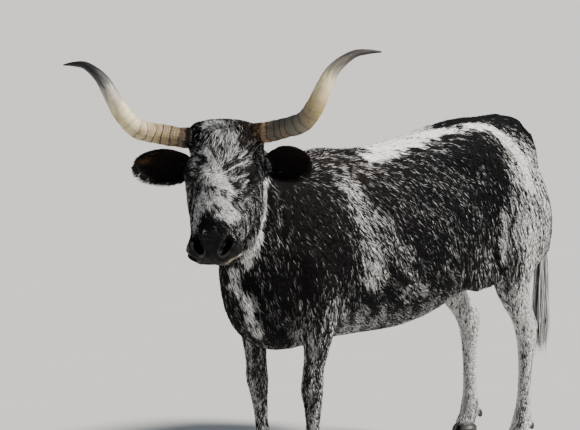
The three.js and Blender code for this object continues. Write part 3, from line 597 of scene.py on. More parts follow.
# Between these heights, each with a soft run, and these distances from its line the tail is filled out
TAIL_FILL_LOW = (0.757, 0.768)
TAIL_FILL_HIGH = (1.02, 1.08)
TAIL_FILL_GAPS = (0.004, 0.03)


def tail_place(heights):
    """The middle of the hanging tail and its radius, at some heights over the animal's own start."""
    line = np.array(TAIL_LINE)
    middles = [np.interp(-heights, -line[:, 2], line[:, i]) for i in range(2)]
    return np.stack([*middles, heights], 1), np.interp(-heights, -line[:, 2], TAIL_RADIUS)


def fill_tail(skin):
    """Brings the hanging tail back to the thickness that smoothing took from it."""
    points = points_of(skin)
    from_start = to_start(points)
    middles, radii = tail_place(from_start[:, 2])
    away = (from_start - middles) * [1, 1, 0]
    gap = np.linalg.norm(away, axis=1)
    height = from_start[:, 2]
    share = (beyond(points, TAIL_ROOT) > 0) & (gap > TAIL_FILL_GAPS[0]) & (gap < TAIL_FILL_GAPS[1])
    share = share * (1 - smooth_step(*TAIL_FILL_HIGH, height)) * smooth_step(*TAIL_FILL_LOW, height)
    set_points(skin, points + unit(away) * ((radii - gap) * share)[:, None])


def make_skin():
    """The whole skin, from the joined solids to its finest folds."""
    skin = joined_flesh()
    points = points_of(skin)
    from_start = to_start(points)
    in_head = smooth_step(-0.03, 0.02, head_depth(points))
    in_tail = smooth_step(-0.01, 0.02, beyond(points, TAIL_ROOT)) * (from_start[:, 0] > 0.7)
    dewlap = smooth_step(0.68, 0.74, -from_start[:, 0]) * (1 - smooth_step(0.95, 1.05, from_start[:, 2]))
    above_legs = smooth_step(LEG_TOP - 0.04, LEG_TOP + 0.14, from_start[:, 2])
    weigh(skin, "broad", above_legs * (1 - in_head) * (1 - in_tail) * (1 - dewlap * 0.75))
    modify(skin, "SMOOTH", factor=0.5, iterations=36, vertex_group="broad")
    modify(skin, "SMOOTH", factor=0.5, iterations=4)
    points = points_of(skin)
    from_start = to_start(points)
    on_tail = (beyond(points, TAIL_ROOT) > -0.01) & (from_start[:, 0] > 0.7)
    dewlap = (from_start[:, 0] < -0.72) & (from_start[:, 1] < 0.05) & (from_start[:, 2] < 1.15)
    refine(skin, (head_depth(points) > -0.02) | on_tail | dewlap | (from_start[:, 2] < 0.36))
    for muzzle_top, eye_reach in ((0.76, 0.05), (0.86, 0.034)):
        points = points_of(skin)
        chosen = (face_places(points)[:, 0] > muzzle_top) & (head_depth(points) > 0.1)
        for hand in (1, -1):
            middle, _, _, gaze = eye_axes(hand)
            chosen |= np.linalg.norm(points - np.array(middle + gaze * 0.015), axis=1) < eye_reach
        refine(skin, chosen)
    modify(skin, "SMOOTH", factor=0.5, iterations=2)
    fill_tail(skin)
    sculpt(skin)
    sink_under_coat(skin)
    drape_lids(skin)
    add_ears(skin)
    return skin


# Markings: how white the coat is, from 0 to 1, and how brown its dark hairs are, painted patch by patch

BASE_WHITE = 0.2
BROWN_SHARE = 0.2
# Patches on both sides of the body: white, brown, half width, line from the animal's own start
BODY_PATCHES = [
    (0.42, 0.1, 0.12, [(-0.4, 0.1, 0.56), (0.0, 0.12, 0.58), (0.3, 0.1, 0.62)]),
    (0.1, 0.1, 0.13, [(-0.68, 0.165, 1.08), (-0.59, 0.19, 0.96), (-0.61, 0.21, 0.77)]),
    (0.11, 0.1, 0.15, [(-0.68, 0.15, 1.14), (-0.8, 0.12, 1.16), (-0.92, 0.1, 1.2)]),
    (0.28, 0.3, 0.055, [(-0.45, 0.045, 1.227), (-0.33, 0.085, 1.198), (-0.2, 0.11, 1.18),
                        (-0.36, 0.14, 1.12)]),
    (0.5, 0.05, 0.047, [(-0.365, 0.14, 1.12), (-0.34, 0.182, 1.034), (-0.31, 0.216, 0.936),
                        (-0.3, 0.223, 0.78)]),
    (0.42, 0.0, 0.042, [(-0.29, 0.195, 1.02), (-0.22, 0.22, 0.93), (-0.155, 0.243, 0.85),
                        (-0.08, 0.22, 0.72)]),
    (0.24, 0.0, 0.05, [(-0.13, 0.19, 1.09), (0.0, 0.23, 0.98), (0.1, 0.25, 0.85), (0.2, 0.22, 0.72)]),
    (0.2, 0.0, 0.095, [(0.02, 0.21, 1.1), (0.25, 0.175, 1.15), (0.38, 0.18, 1.14)]),
    (0.19, 0.0, 0.09, [(0.1, 0.25, 0.95), (0.3, 0.23, 0.96), (0.36, 0.215, 1.0)]),
    (0.07, 0.0, 0.06, [(0.3, 0.17, 1.19), (0.41, 0.18, 1.16), (0.4, 0.2, 1.04)]),
    (0.6, 0.0, 0.13, [(0.61, 0.17, 1.1), (0.62, 0.21, 0.95), (0.6, 0.22, 0.8), (0.62, 0.18, 0.66)]),
    (0.36, 0.25, 0.04, [(0.483, 0.232, 0.76), (0.48, 0.22, 0.66), (0.5, 0.2, 0.6)]),
    (0.28, 0.15, 0.06, [(0.32, 0.2, 0.84), (0.36, 0.2, 0.72), (0.42, 0.18, 0.64)]),
    (0.86, 0.0, 0.045, [(-0.12, 0.03, 1.23), (0.05, 0.02, 1.245), (0.2, 0.02, 1.265)]),
    (0.92, 0.0, 0.033, [(-0.2, 0.085, 1.21), (0.07, 0.056, 1.242), (0.227, 0.05, 1.264),
                        (0.377, 0.067, 1.288), (0.475, 0.1, 1.271), (0.55, 0.13, 1.23),
                        (0.582, 0.164, 1.164), (0.601, 0.2, 1.075)]),
    (0.05, 0.0, 0.05, [(0.34, 0.0, 1.3), (0.5, 0.0, 1.32), (0.66, 0.0, 1.3), (0.76, 0.0, 1.24)]),
    (0.05, 0.0, 0.05, [(0.6, 0.03, 1.3), (0.7, 0.05, 1.27), (0.76, 0.05, 1.2)]),
    (0.76, 0.0, 0.1, [(0.58, 0.17, 0.6), (0.66, 0.16, 0.5), (0.66, 0.16, 0.3), (0.62, 0.16, 0.08)]),
    (0.42, 0.2, 0.1, [(-0.54, 0.17, 0.66), (-0.54, 0.16, 0.4), (-0.57, 0.16, 0.08)]),
]
# Patches on her left side only: a greyer band on the neck, painted highlight on the ridges of the loose
# folds, and painted shade behind the flank's fold
FOLD_MARKS_AND_PAINTED_LIGHT = [
    (0.2, 0.1, 0.05, [(-0.78, -0.172, 1.12), (-0.77, -0.172, 1.04), (-0.78, -0.15, 0.93)]),
    # Painted highlight along the ridges of the neck fold and the dewlap's fold
    (0.8, 0.05, 0.022, [(-0.835, -0.182, 1.17), (-0.84, -0.174, 1.06), (-0.85, -0.15, 0.98),
                        (-0.845, -0.1, 0.88)]),
    (0.68, 0.0, 0.02, [(-0.88, -0.03, 0.9), (-0.85, -0.045, 0.82), (-0.8, -0.055, 0.72),
                       (-0.74, -0.05, 0.62)]),
    # Painted shade behind the flank's fold, then a painted highlight on its front edge
    (0.25, 0.2, 0.014, [(0.462, -0.222, 0.96), (0.458, -0.215, 0.8), (0.48, -0.19, 0.68)]),
    (0.5, 0.0, 0.018, [(0.433, -0.222, 0.98), (0.432, -0.21, 0.806), (0.459, -0.17, 0.658)]),
]
TAIL_PATCHES = [
    (0.05, 0.0, 0.05, [(0.75, 0.0, 1.27), (0.8, -0.01, 1.23), (0.82, -0.03, 1.15)]),
    (0.72, 0.1, 0.06, [(0.834, -0.046, 1.06), (0.838, -0.064, 0.9), (0.836, -0.076, 0.6)]),
]
# Patches on the face: white, brown, half width, line in share, aside, outward
FACE_PATCHES = [
    (0.1, 0.1, 0.022, [(0.0, -0.09, 0.0), (0.0, 0.09, 0.0)]),
    (0.76, 0.0, 0.028, [(0.075, -0.045, 0.001), (0.1, -0.015, 0.005), (0.17, 0.02, 0.008),
                        (0.22, 0.045, 0.009)]),
    (0.08, 0.0, 0.034, [(0.04, -0.115, -0.02), (0.12, -0.1, 0.0), (0.17, -0.09, 0.0)]),
    (0.1, 0.35, 0.03, [(0.05, 0.09, -0.01), (0.12, 0.078, 0.003), (0.22, 0.085, 0.002)]),
    (0.12, 0.0, 0.022, [(0.18, -0.06, 0.01), (0.245, -0.04, 0.01), (0.265, 0.0, 0.011)]),
    (0.34, 0.1, 0.05, [(0.5, 0.1, -0.06), (0.62, 0.095, -0.06), (0.76, 0.085, -0.07)]),
    (0.33, 0.1, 0.05, [(0.5, -0.11, -0.08), (0.68, -0.1, -0.08)]),
    (0.6, 0.0, 0.052, [(0.35, -0.025, 0.008), (0.41, -0.02, 0.008)]),
    (0.36, 0.0, 0.03, [(0.32, -0.087, 0.0), (0.45, -0.085, -0.01)]),
    (0.38, 0.1, 0.03, [(0.3, 0.07, 0.004), (0.34, 0.09, 0.0)]),
    # Her right side of the nose bridge: partly fewer white hairs and partly painted shade, greyer than the
    # blaze
    (0.55, 0.0, 0.03, [(0.47, -0.045, 0.0), (0.64, -0.05, -0.01), (0.74, -0.055, -0.02)]),
    (0.86, 0.0, 0.024, [(0.43, -0.012, 0.002), (0.5, 0.01, 0.0), (0.56, 0.028, 0.0), (0.66, 0.045, -0.006),
                        (0.71, 0.058, -0.015)]),
    (0.66, 0.0, 0.03, [(0.56, 0.0, 0.0), (0.65, 0.012, -0.004), (0.715, 0.024, -0.006)]),
    (0.06, 0.0, 0.024, [(0.75, -0.035, -0.006), (0.775, 0.0, -0.004), (0.8, 0.03, -0.008),
                        (0.84, 0.0, -0.01)]),
    (0.06, 0.1, 0.024, [(0.37, 0.125, -0.03), (0.43, 0.122, -0.03)]),
    (0.06, 0.1, 0.024, [(0.37, -0.125, -0.03), (0.43, -0.122, -0.03)]),
    (0.05, 0.0, 0.055, [(0.93, -0.05, -0.05), (0.93, 0.05, -0.05)]),
    (0.6, 0.0, 0.0045, [(0.5, 0.081, -0.02), (0.47, 0.088, -0.019), (0.445, 0.097, -0.02)]),
    (0.85, 0.0, 0.03, [(0.9, 0.07, -0.115), (0.95, 0.045, -0.12), (0.95, 0.0, -0.125)]),
    (0.72, 0.0, 0.03, [(0.88, -0.075, -0.125), (0.94, -0.04, -0.125), (0.95, 0.0, -0.13),
                       (0.94, 0.04, -0.125), (0.88, 0.075, -0.125)]),
]
# Thin pale creases over the muzzle
MUZZLE_CREASES = [
    [(0.868, -0.03, -0.006), (0.872, -0.01, -0.006), (0.866, 0.02, -0.006), (0.852, 0.04, -0.006)],
    [(0.845, -0.02, 0.0), (0.842, 0.0, 0.0), (0.84, 0.022, -0.002)],
]
WAVE_COUNT = 12


def waves(points, size, seed):
    """A soft seeded noise of about unit height, with swells about as long as size."""
    draw = np.random.default_rng(seed)
    ways = unit(draw.normal(size=(WAVE_COUNT, 3)))
    pace = 2 * math.pi / (size * draw.uniform(0.6, 1.6, WAVE_COUNT))
    start = draw.uniform(0, 2 * math.pi, WAVE_COUNT)
    total = np.zeros(len(points))
    for way, step, phase in zip(ways, pace, start):
        total += np.sin(points @ way * step + phase)
    return total / math.sqrt(WAVE_COUNT / 2)


def paint(white, brown, places, patches, ragged, mirrored=False):
    """Lays patches over the two fields, one after another, with ragged edges."""
    for value, tint, width, line in patches:
        for hand in (1, -1) if mirrored else (1,):
            gap, _ = line_distance(places, [(x, y * hand, z) for x, y, z in line])
            cover = 1 - smooth_step(width * 0.4, width * 1.6, gap + ragged * min(width, 0.05) * 0.25)
            white += (value - white) * cover
            brown += (tint - brown) * cover
    return white, brown


# How far from an ear's line, and how far past its root, the coat is the ear's
EAR_HALF = 0.075
EAR_START = 0.045


def near_ear(points):
    """1 for each point that belongs to an ear, else 0."""
    share = np.zeros(len(points))
    for hand in (1, -1):
        root, axis, _, _, length = ear_axes(hand)
        gap, _ = line_distance(points, [root + axis * 0.055, root + axis * length])
        inside = (gap < EAR_HALF) & ((points - np.array(root + axis * EAR_START)) @ np.array(axis) > 0)
        inside &= face_places(points)[:, 1] * hand > 0.135
        share = np.where(inside, 1, share)
    return share


# The pale and brown shares of the face's ground and of the ears, and the brown of the body's ground
FACE_GROUND = (0.3, 0.04)
BODY_BROWN = 0.04
EAR_GROUND = (0.004, 0.25)
# A brown glow inside her right ear: its middle aside and up from the poll, and its reach each way
EAR_GLOW = (-0.286, -0.15)
EAR_GLOW_REACH = (0.018, 0.01)


def markings(points):
    """The white share and the brown tint of the coat at each point, with the painted highlight and shade of
    the folds and the face laid in.
    """
    from_start = to_start(points)
    ragged = waves(from_start, 0.06, 11) + 0.6 * waves(from_start, 0.02, 12)
    white = np.full(len(points), BASE_WHITE)
    brown = np.full(len(points), BODY_BROWN)
    white, brown = paint(white, brown, from_start, BODY_PATCHES, ragged, mirrored=True)
    white, brown = paint(white, brown, from_start, FOLD_MARKS_AND_PAINTED_LIGHT, ragged)
    white, brown = paint(white, brown, from_start, TAIL_PATCHES, ragged)
    in_head = smooth_step(-0.01, 0.02, head_depth(points))
    places = face_metres(face_places(points))
    face_white, face_brown = (np.full(len(points), ground) for ground in FACE_GROUND)
    patches = [(value, tint, width, face_line(line)) for value, tint, width, line in FACE_PATCHES]
    face_white, face_brown = paint(face_white, face_brown, places, patches, ragged)
    white += (face_white - white) * in_head
    brown += (face_brown - brown) * in_head
    ear = near_ear(points)
    white += (EAR_GROUND[0] - white) * ear
    brown += (EAR_GROUND[1] - brown) * ear
    crown_places = (points - np.array(POLL)) @ np.array([crown_left, crown_up]).T
    glow = ear * np.exp(-(((crown_places - EAR_GLOW) / EAR_GLOW_REACH) ** 2).sum(1))
    return np.clip(white, 0, 1), np.clip(brown * BROWN_SHARE + glow, 0, 1)


LIP_WIDTH = 0.0095
CAVITY_WIDTH = 0.0135
CAVITY_DEPTH = 0.013


def mirrored_gap(places, line):
    """How far each place is from a line of the face or its mirror, whichever is nearer."""
    return np.minimum(*(line_distance(places, face_line(line, hand))[0] for hand in (1, -1)))


def mouth_height(share):
    """How far out of the face the mouth's line lies."""
    shares, _, heights = zip(*MOUTH_LINE)
    return np.interp(share, shares, heights)


def lower_lip(points):
    """1 on the pale edge of the lower lip, just under the mouth's line, on her left."""
    places = face_places(points)
    share, aside, outward = places.T
    gap = mirrored_gap(face_metres(places), MOUTH_LINE)
    under = 1 - smooth_step(-0.003, 0.001, outward - mouth_height(share))
    on_left = smooth_step(-0.03, 0.012, aside)
    return under * (1 - smooth_step(LIP_WIDTH - 0.003, LIP_WIDTH, gap)) * (share > 0.86) * on_left


def nostril_gap(points):
    """How far each point is from the bottom of the nearer nostril."""
    return mirrored_gap(face_metres(face_places(points)) + [0, 0, CAVITY_DEPTH], NOSTRIL_LINE)


def cavity(points):
    """1 inside the nostrils, where the skin is painted near black as shade."""
    return 1 - smooth_step(CAVITY_WIDTH * 0.75, CAVITY_WIDTH * 1.25, nostril_gap(points))


def rims(points):
    """1 on the edges of the nostrils, where a pale highlight is painted, and on the creases over the muzzle.
    """
    places = face_metres(face_places(points))
    # The pale band round the nostrils is a painted highlight
    dust_and_highlight = np.exp(-(((nostril_gap(points) - CAVITY_WIDTH * 1.45) / 0.0026) ** 2))
    for line in MUZZLE_CREASES:
        gap, _ = line_distance(places, face_line(line))
        dust_and_highlight = np.maximum(dust_and_highlight, 0.7 * np.exp(-((gap / 0.002) ** 2)))
    return dust_and_highlight


def bareness(points):
    """1 where the skin is bare and moist or leathery: muzzle, nostrils, lips, lids."""
    places = face_places(points)
    edge = waves(to_start(points), 0.02, 5) * 0.005
    share, aside, outward = places.T
    muzzle = smooth_step(0.79, 0.81, share - np.abs(aside) * 0.95 + edge)
    muzzle = muzzle * smooth_step(-0.004, 0, outward - mouth_height(share))
    bare = np.maximum(muzzle, lower_lip(points)) * (head_depth(points) > 0) * (share < 1.2)
    for hand in (1, -1):
        middle, slit, lift, gaze = (np.array(v) for v in eye_axes(hand))
        away = points - middle
        across, high = away @ slit / 1.3, away @ lift
        near = np.hypot(across, high) < 0.0168
        bare = np.where(near & (away @ gaze > 0), 1, bare)
    return bare


# Coat

# The lie of the coat on both sides of the body: place, and the way that the hair points
LIE = [
    (-0.88, 0.1, 1.25, 0.75, 0.1, -0.6), (-0.75, 0.15, 1.15, 0.6, 0.0, -0.8),
    (-0.75, 0.0, 1.3, 0.95, 0.0, -0.2), (-0.62, 0.0, 1.27, 1, 0, -0.1),
    (-0.6, 0.18, 1.0, 0.5, 0.0, -0.85), (-0.45, 0.05, 1.22, 0.95, 0.2, -0.2),
    (-0.45, 0.2, 1.0, 0.35, 0.0, -0.95), (-0.52, 0.2, 0.8, 0.15, 0.0, -1),
    (-0.2, 0.08, 1.22, 0.9, 0.3, -0.3), (-0.25, 0.2, 1.05, 0.55, 0.1, -0.85),
    (-0.25, 0.24, 0.85, 0.5, 0.0, -0.9), (-0.2, 0.2, 0.65, 0.8, -0.2, -0.5),
    (0.05, 0.1, 1.23, 0.85, 0.35, -0.3), (0.05, 0.22, 1.08, 0.6, 0.1, -0.8),
    (0.05, 0.25, 0.88, 0.55, 0.0, -0.85), (0.1, 0.2, 0.66, 0.85, -0.2, -0.4),
    (0.3, 0.12, 1.27, 0.85, 0.3, -0.3), (0.3, 0.2, 1.1, 0.55, 0.1, -0.85),
    (0.25, 0.24, 0.9, 0.4, 0.0, -0.9), (0.3, 0.2, 0.74, 0.3, 0.0, -0.95),
    (0.5, 0.15, 1.24, 0.6, 0.5, -0.6), (0.5, 0.2, 1.0, 0.25, 0.1, -1), (0.5, 0.22, 0.8, 0.05, 0.0, -1),
    (0.65, 0.1, 1.26, 0.7, 0.3, -0.5), (0.68, 0.15, 1.05, 0.1, 0.0, -1), (0.62, 0.2, 0.85, 0.1, 0.0, -1),
    (0.0, 0.0, 0.58, 1, 0, 0), (-0.4, 0.0, 0.55, 1, 0, -0.1), (-0.75, 0.05, 0.7, 0.6, 0.0, -0.8),
    (-0.85, 0.06, 0.9, 0.4, 0.0, -0.9), (-0.57, 0.15, 0.5, 0, 0, -1), (-0.55, 0.15, 0.2, 0, 0, -1),
    (0.65, 0.15, 0.5, 0, 0, -1), (0.65, 0.15, 0.2, 0, 0, -1), (0.8, 0.0, 1.2, 0.3, 0, -1),
    (0.84, 0.05, 0.9, 0, 0, -1),
]
LIE_REACH = 0.11
# The whorl between the eyes, and how far its hair turns from straight outward
WHORL = (0.41, -0.025)
WHORL_TURN = 0.5


def lie_of(points, normals):
    """The way that the hair lies at each point, along the skin."""
    from_start = to_start(points)
    way = np.zeros_like(points)
    for x, y, z, dx, dy, dz in both_lies():
        gap = ((from_start - (x, y, z)) ** 2).sum(1)
        way += np.exp(-gap / LIE_REACH**2)[:, None] * np.array((dx, dy, dz)) + 1e-9 * np.array((0.3, 0, -1))
    way = unit(way)
    places = face_places(points)
    from_whorl = np.stack([(places[:, 0] - WHORL[0]) * HEAD_LENGTH, places[:, 1] - WHORL[1]], 1)
    spread = unit(from_whorl)
    sine, cosine = math.sin(WHORL_TURN), math.cos(WHORL_TURN)
    spread = spread @ np.array([[cosine, sine], [-sine, cosine]])
    upward = smooth_step(0.0, -0.12, from_whorl[:, 0])
    spread[:, 0] *= 1 - 0.4 * upward
    face_way = spread[:, :1] * np.array(along) + spread[:, 1:] * np.array(face_left)
    side = smooth_step(-0.02, -0.09, places[:, 2])
    cheek_way = unit(np.array(along) * 0.45 - np.array(out) * 0.9)
    face_way = face_way * (1 - side)[:, None] + cheek_way * side[:, None]
    in_head = smooth_step(-0.02, 0.03, head_depth(points))[:, None]
    way = way * (1 - in_head) + face_way * in_head
    ear = near_ear(points)
    for hand in (1, -1):
        _, axis, upward_way, _, _ = ear_axes(hand)
        here = (ear > 0) & (places[:, 1] * hand > 0)
        below = unit(np.array(axis)[None, :] - np.array(upward_way)[None, :] * 0.25)
        way = np.where(here[:, None], below, way)
    way -= normals * (way * normals).sum(1, keepdims=True)
    return unit(way)


def both_lies():
    """The lie's anchors on both sides of the body."""
    rows = []
    for x, y, z, dx, dy, dz in LIE:
        rows.append((x, y, z, dx, dy, dz))
        if y:
            rows.append((x, -y, z, dx, -dy, dz))
    return rows


def scatter(skin, spacing, draw):
    """Seeded points spread evenly over the skin, about spacing apart, with their smooth normals."""
    mesh = skin.data
    mesh.calc_loop_triangles()
    corners = np.empty(len(mesh.loop_triangles) * 3, np.int32)
    mesh.loop_triangles.foreach_get("vertices", corners)
    corners = corners.reshape(-1, 3)
    points = points_of(skin)
    normals = normals_of(skin)
    a, b, c = (points[corners[:, i]] for i in range(3))
    area = np.linalg.norm(np.cross(b - a, c - a), axis=1) / 2
    gaps = spacing((a + b + c) / 3)
    wanted = np.cumsum(np.where(gaps > 0, area / np.maximum(gaps, 1e-4) ** 2, 0))
    rows = np.searchsorted(wanted, np.arange(0.5, wanted[-1], 1.0))
    u, v = draw.random((2, len(rows)))
    over = u + v > 1
    u, v = np.where(over, 1 - u, u), np.where(over, 1 - v, v)
    weights = np.stack([1 - u - v, u, v], 1)[:, :, None]
    places = (points[corners[rows]] * weights).sum(1)
    ways = unit((normals[corners[rows]] * weights).sum(1))
    return places, ways


def tuft_mesh(name, lefts, rights, ridges, tips):
    """Closed pointed tufts of four faces, as one mesh object."""
    points = np.stack([lefts, rights, ridges, tips], 1)
    faces = np.array([[0, 2, 3], [1, 3, 2], [0, 1, 2], [0, 3, 1]])
    triangles = faces[None] + 4 * np.arange(len(lefts))[:, None, None]
    return mesh_object(name, points.reshape(-1, 3), triangles.reshape(-1, 3))


# Where each piece of the coat is, and the line that its own unwrap turns about

LEG_LINE = {
    "fore": ([0.05, 0.2, 0.45, 0.65, 0.9], [-0.55, -0.53, -0.54, -0.53, -0.54]),
    "hind": ([0.05, 0.2, 0.45, 0.55, 0.65, 0.9], [0.62, 0.65, 0.66, 0.63, 0.55, 0.56]),
}
LEG_Y = 0.16
BARREL_HEIGHT = 0.9
TORSO_SPLITS = (-0.36, -0.1, 0.14, 0.4)
BAKE_MARGIN = 0.01
PATCH_SIZE = 0.003


def coat_pieces(points):
    """The name of the coat piece that each point belongs to."""
    from_start = to_start(points)
    x, y, z = from_start.T
    side = np.where(y < 0, "left", "right")
    band = np.digitize(x, TORSO_SPLITS)
    names = np.array(["coat_side_%s_%d" % pair for pair in zip(side, band)], "U24")
    names[beyond(points, NECK_CUT) > 0] = "coat_neck"
    low = z < LEG_TOP
    names[low & (x < 0)] = "coat_forelegs"
    names[low & (x > 0.42)] = "coat_hindlegs"
    names[(beyond(points, TAIL_ROOT) > 0) & (x > 0.72)] = "coat_tail"
    on_left = face_places(points)[:, 1] > 0
    names[(head_depth(points) > 0) & on_left] = "coat_head_left"
    names[(head_depth(points) > 0) & ~on_left] = "coat_head_right"
    names[near_ear(points) > 0] = "coat_ears"
    return names


def turned_about(points, start, axis, reference):
    """The share of a turn about an axis, and the way along it, for each point."""
    axis = np.array(Vector(axis).normalized())
    away = points - np.array(start)
    reach = away @ axis
    first = np.array(reference) - axis * (np.array(reference) @ axis)
    first /= np.linalg.norm(first)
    second = np.cross(axis, first)
    return np.arctan2(away @ second, away @ first) / (2 * math.pi) + 0.5, reach


def fit(values, low, high):
    """The values spread to run from low to high."""
    least, most = values.min(), values.max()
    return low + (values - least) / max(most - least, 1e-9) * (high - low)


def unwrap(name, points):
    """Each point's place on a flat unwrap of its own part of the skin."""
    from_start = to_start(points)
    column = np.zeros(len(points), int)
    columns = 1
    if "head" in name:
        around, reach = turned_about(points, on_face(0, 0, -0.09), along, -out)
    elif name == "coat_neck":
        around, reach = turned_about(from_start, (-0.43, 0, 0.9), (-0.52, -0.12, 0.36), (0, 0, -1))
    elif name == "coat_ears":
        around = np.zeros(len(points))
        reach = np.zeros(len(points))
        columns = 2
        for i, hand in enumerate((1, -1)):
            here = face_places(points)[:, 1] * hand > 0
            root, axis, _, front, _ = ear_axes(hand)
            around[here], reach[here] = turned_about(points[here], root - front * 0.01, axis, front)
            column[here] = i
    elif name in ("coat_forelegs", "coat_hindlegs"):
        heights, middles = LEG_LINE[name[5:9]]
        middle = np.interp(from_start[:, 2], heights, middles)
        side = np.where(from_start[:, 1] < 0, -1, 1)
        flat = from_start - np.stack([middle, side * LEG_Y, np.zeros(len(points))], 1)
        around, reach = turned_about(flat, (0, 0, 0), (0, 0, 1), (1, 0, 0))
        columns = 2
        column = (side > 0).astype(int)
    elif name == "coat_tail":
        middles, _ = tail_place(from_start[:, 2])
        around, reach = turned_about(from_start - middles * [1, 1, 0], (0, 0, 0), (0, 0, 1), (1, 0, 0))
    else:
        inward = (0, 1 if "left" in name else -1, 0)
        around, reach = turned_about(from_start, (0, 0, BARREL_HEIGHT), (1, 0, 0), inward)
    flat_map = np.zeros((len(points), 2))
    for i in range(columns):
        here = column == i
        if here.any():
            low, high = i / columns + BAKE_MARGIN, (i + 1) / columns - BAKE_MARGIN
            flat_map[here, 0] = fit(around[here], low, high)
            flat_map[here, 1] = fit(reach[here], BAKE_MARGIN, 1 - BAKE_MARGIN)
    return flat_map


def bake_map(obj, flat_points):
    """Stores a place on the bake map for each point of the mesh."""
    layer = obj.data.uv_layers.new(name="OFBake")
    corners = np.empty(len(obj.data.loops), np.int32)
    obj.data.loops.foreach_get("vertex_index", corners)
    layer.data.foreach_set("uv", flat_points[corners].astype(np.float32).ravel())


# By what share tufts grow longer and their tips prouder on the poll and the withers, or less round the muzzle
# and the eyes, and their length on the ears and the tail as a share of the face's and the legs'
POLL_GROWTH = (0.6, 0.8)
WITHERS_GROWTH = (0.35, 0.8)
MUZZLE_GROWTH = (-0.45, -0.3)
EAR_GROWTH = 1.25
TAIL_GROWTH = 1.3
WITHERS = (-0.35, 0, 1.24)
WITHERS_REACH = (0.2, 0.14, 0.09)


def coat_sizes(points):
    """How far apart tufts stand, their length and width and how proud their tips stand, at each point."""
    coat = bpy.context.scene.longhorn_coat
    from_start = to_start(points)
    places = face_places(points)
    in_head = smooth_step(-0.03, 0.03, head_depth(points))
    leg = 1 - smooth_step(0.5, 0.72, from_start[:, 2])
    sizes = []
    for kind in ("spacing", "length", "width", "lift"):
        body, face, foot = (getattr(coat, "%s_%s" % (part, kind)) for part in ("body", "face", "leg"))
        size = body + (foot - body) * leg * (1 - in_head)
        sizes.append(size + (face - size) * in_head)
    spacing, length, width, lift = sizes
    poll = in_head * (1 - smooth_step(0.1, 0.22, places[:, 0]))
    muzzle = in_head * smooth_step(0.66, 0.84, places[:, 0])
    for hand in (1, -1):
        eye_gap = np.linalg.norm(points - np.array(eye_axes(hand)[0]), axis=1)
        muzzle = np.maximum(muzzle, 1 - smooth_step(0.03, 0.05, eye_gap))
    withers = np.exp(-(((from_start - WITHERS) / WITHERS_REACH) ** 2).sum(1))
    for share, growth in ((poll, POLL_GROWTH), (muzzle, MUZZLE_GROWTH), (withers, WITHERS_GROWTH)):
        length = length * (1 + growth[0] * share)
        lift = lift * (1 + growth[1] * share)
    length = np.where(near_ear(points) > 0, coat.face_length * EAR_GROWTH, length)
    tail = (beyond(points, TAIL_ROOT) > 0) & (from_start[:, 0] > 0.72)
    length = np.where(tail, coat.leg_length * TAIL_GROWTH, length)
    spacing = np.where(coat_bare(points), 0, spacing)
    return spacing, length, width, lift


def horn_gap(points):
    """How far each point is from the line of the nearer horn's root."""
    best = np.full(len(points), 1.0)
    for hand in (1, -1):
        line = [horn_place(hand, row)[0] for row in HORN_STATIONS[:3]]
        gap, _ = line_distance(points, line)
        best = np.minimum(best, gap)
    return best


def coat_bare(points):
    """Where no tuft grows: bare skin, the horns' cores and the hooves' crowns."""
    places = face_places(points)
    on_horn = (horn_gap(points) < HORN_RADIUS) & (np.abs(places[:, 1]) > 0.118)
    return (bareness(points) > 0.5) | on_horn | (to_start(points)[:, 2] < 0.075)


def streaks(points, ways, size, reach, seed):
    """Soft noise drawn out along the lie of the hair."""
    steps = np.linspace(-reach, reach, 5)
    return sum(waves(points + ways * step, size, seed) for step in steps) / math.sqrt(len(steps) * 2)


# Streaks drawn out along the lie of the hair: size, reach, seed, weight
STREAKS = [(0.03, 0.03, 31, 0.36), (0.012, 0.014, 32, 0.42)]
# Swells that turn the tufts aside: size, seed, weight
SWAYS = [(0.07, 21, 0.14), (0.02, 22, 0.12)]
# How wide chance spreads the turn aside, the choice between pale and dark, and the tone
SWAY_SPREAD = 0.13
PALE_SPREAD = 0.62
TONE_SPREAD = 0.17
# Where a tuft's ridge stands on the way to its tip, and for its four points how far they are from root to
# tip and where they lie on its patch of the bake map
RIDGE_SHARE = 0.3
TUFT_TIPS = [0, 0, 0.35, 1.0]
TUFT_SPREAD = [[-0.5, -0.5], [0.5, -0.5], [0, 0], [0, 0.5]]


def tree_over(skin):
    """A search tree over the skin as it stands."""
    return BVHTree.FromObject(skin, bpy.context.evaluated_depsgraph_get())


def coat_tints(roots, lie, draw):
    """How white, brown and light each tuft is, in streaks along the lie of the hair."""
    count = len(roots)
    from_start = to_start(roots)
    white, brown = markings(roots)
    streak = sum(streaks(from_start, lie, *sizes) * weight for *sizes, weight in STREAKS)
    chance = np.clip(white, 0.004, 0.996)
    margin = np.log(chance / (1 - chance)) * 0.6 - streak * 1.1 - draw.normal(0, PALE_SPREAD, count)
    tone = 0.1 + 0.75 * smooth_step(0.05, 0.75, white) + draw.normal(0, TONE_SPREAD, count)
    tone = np.clip(tone + np.clip(margin, -1, 1) * 0.25, 0, 1)
    return smooth_step(-0.12, 0.3, margin), brown, tone


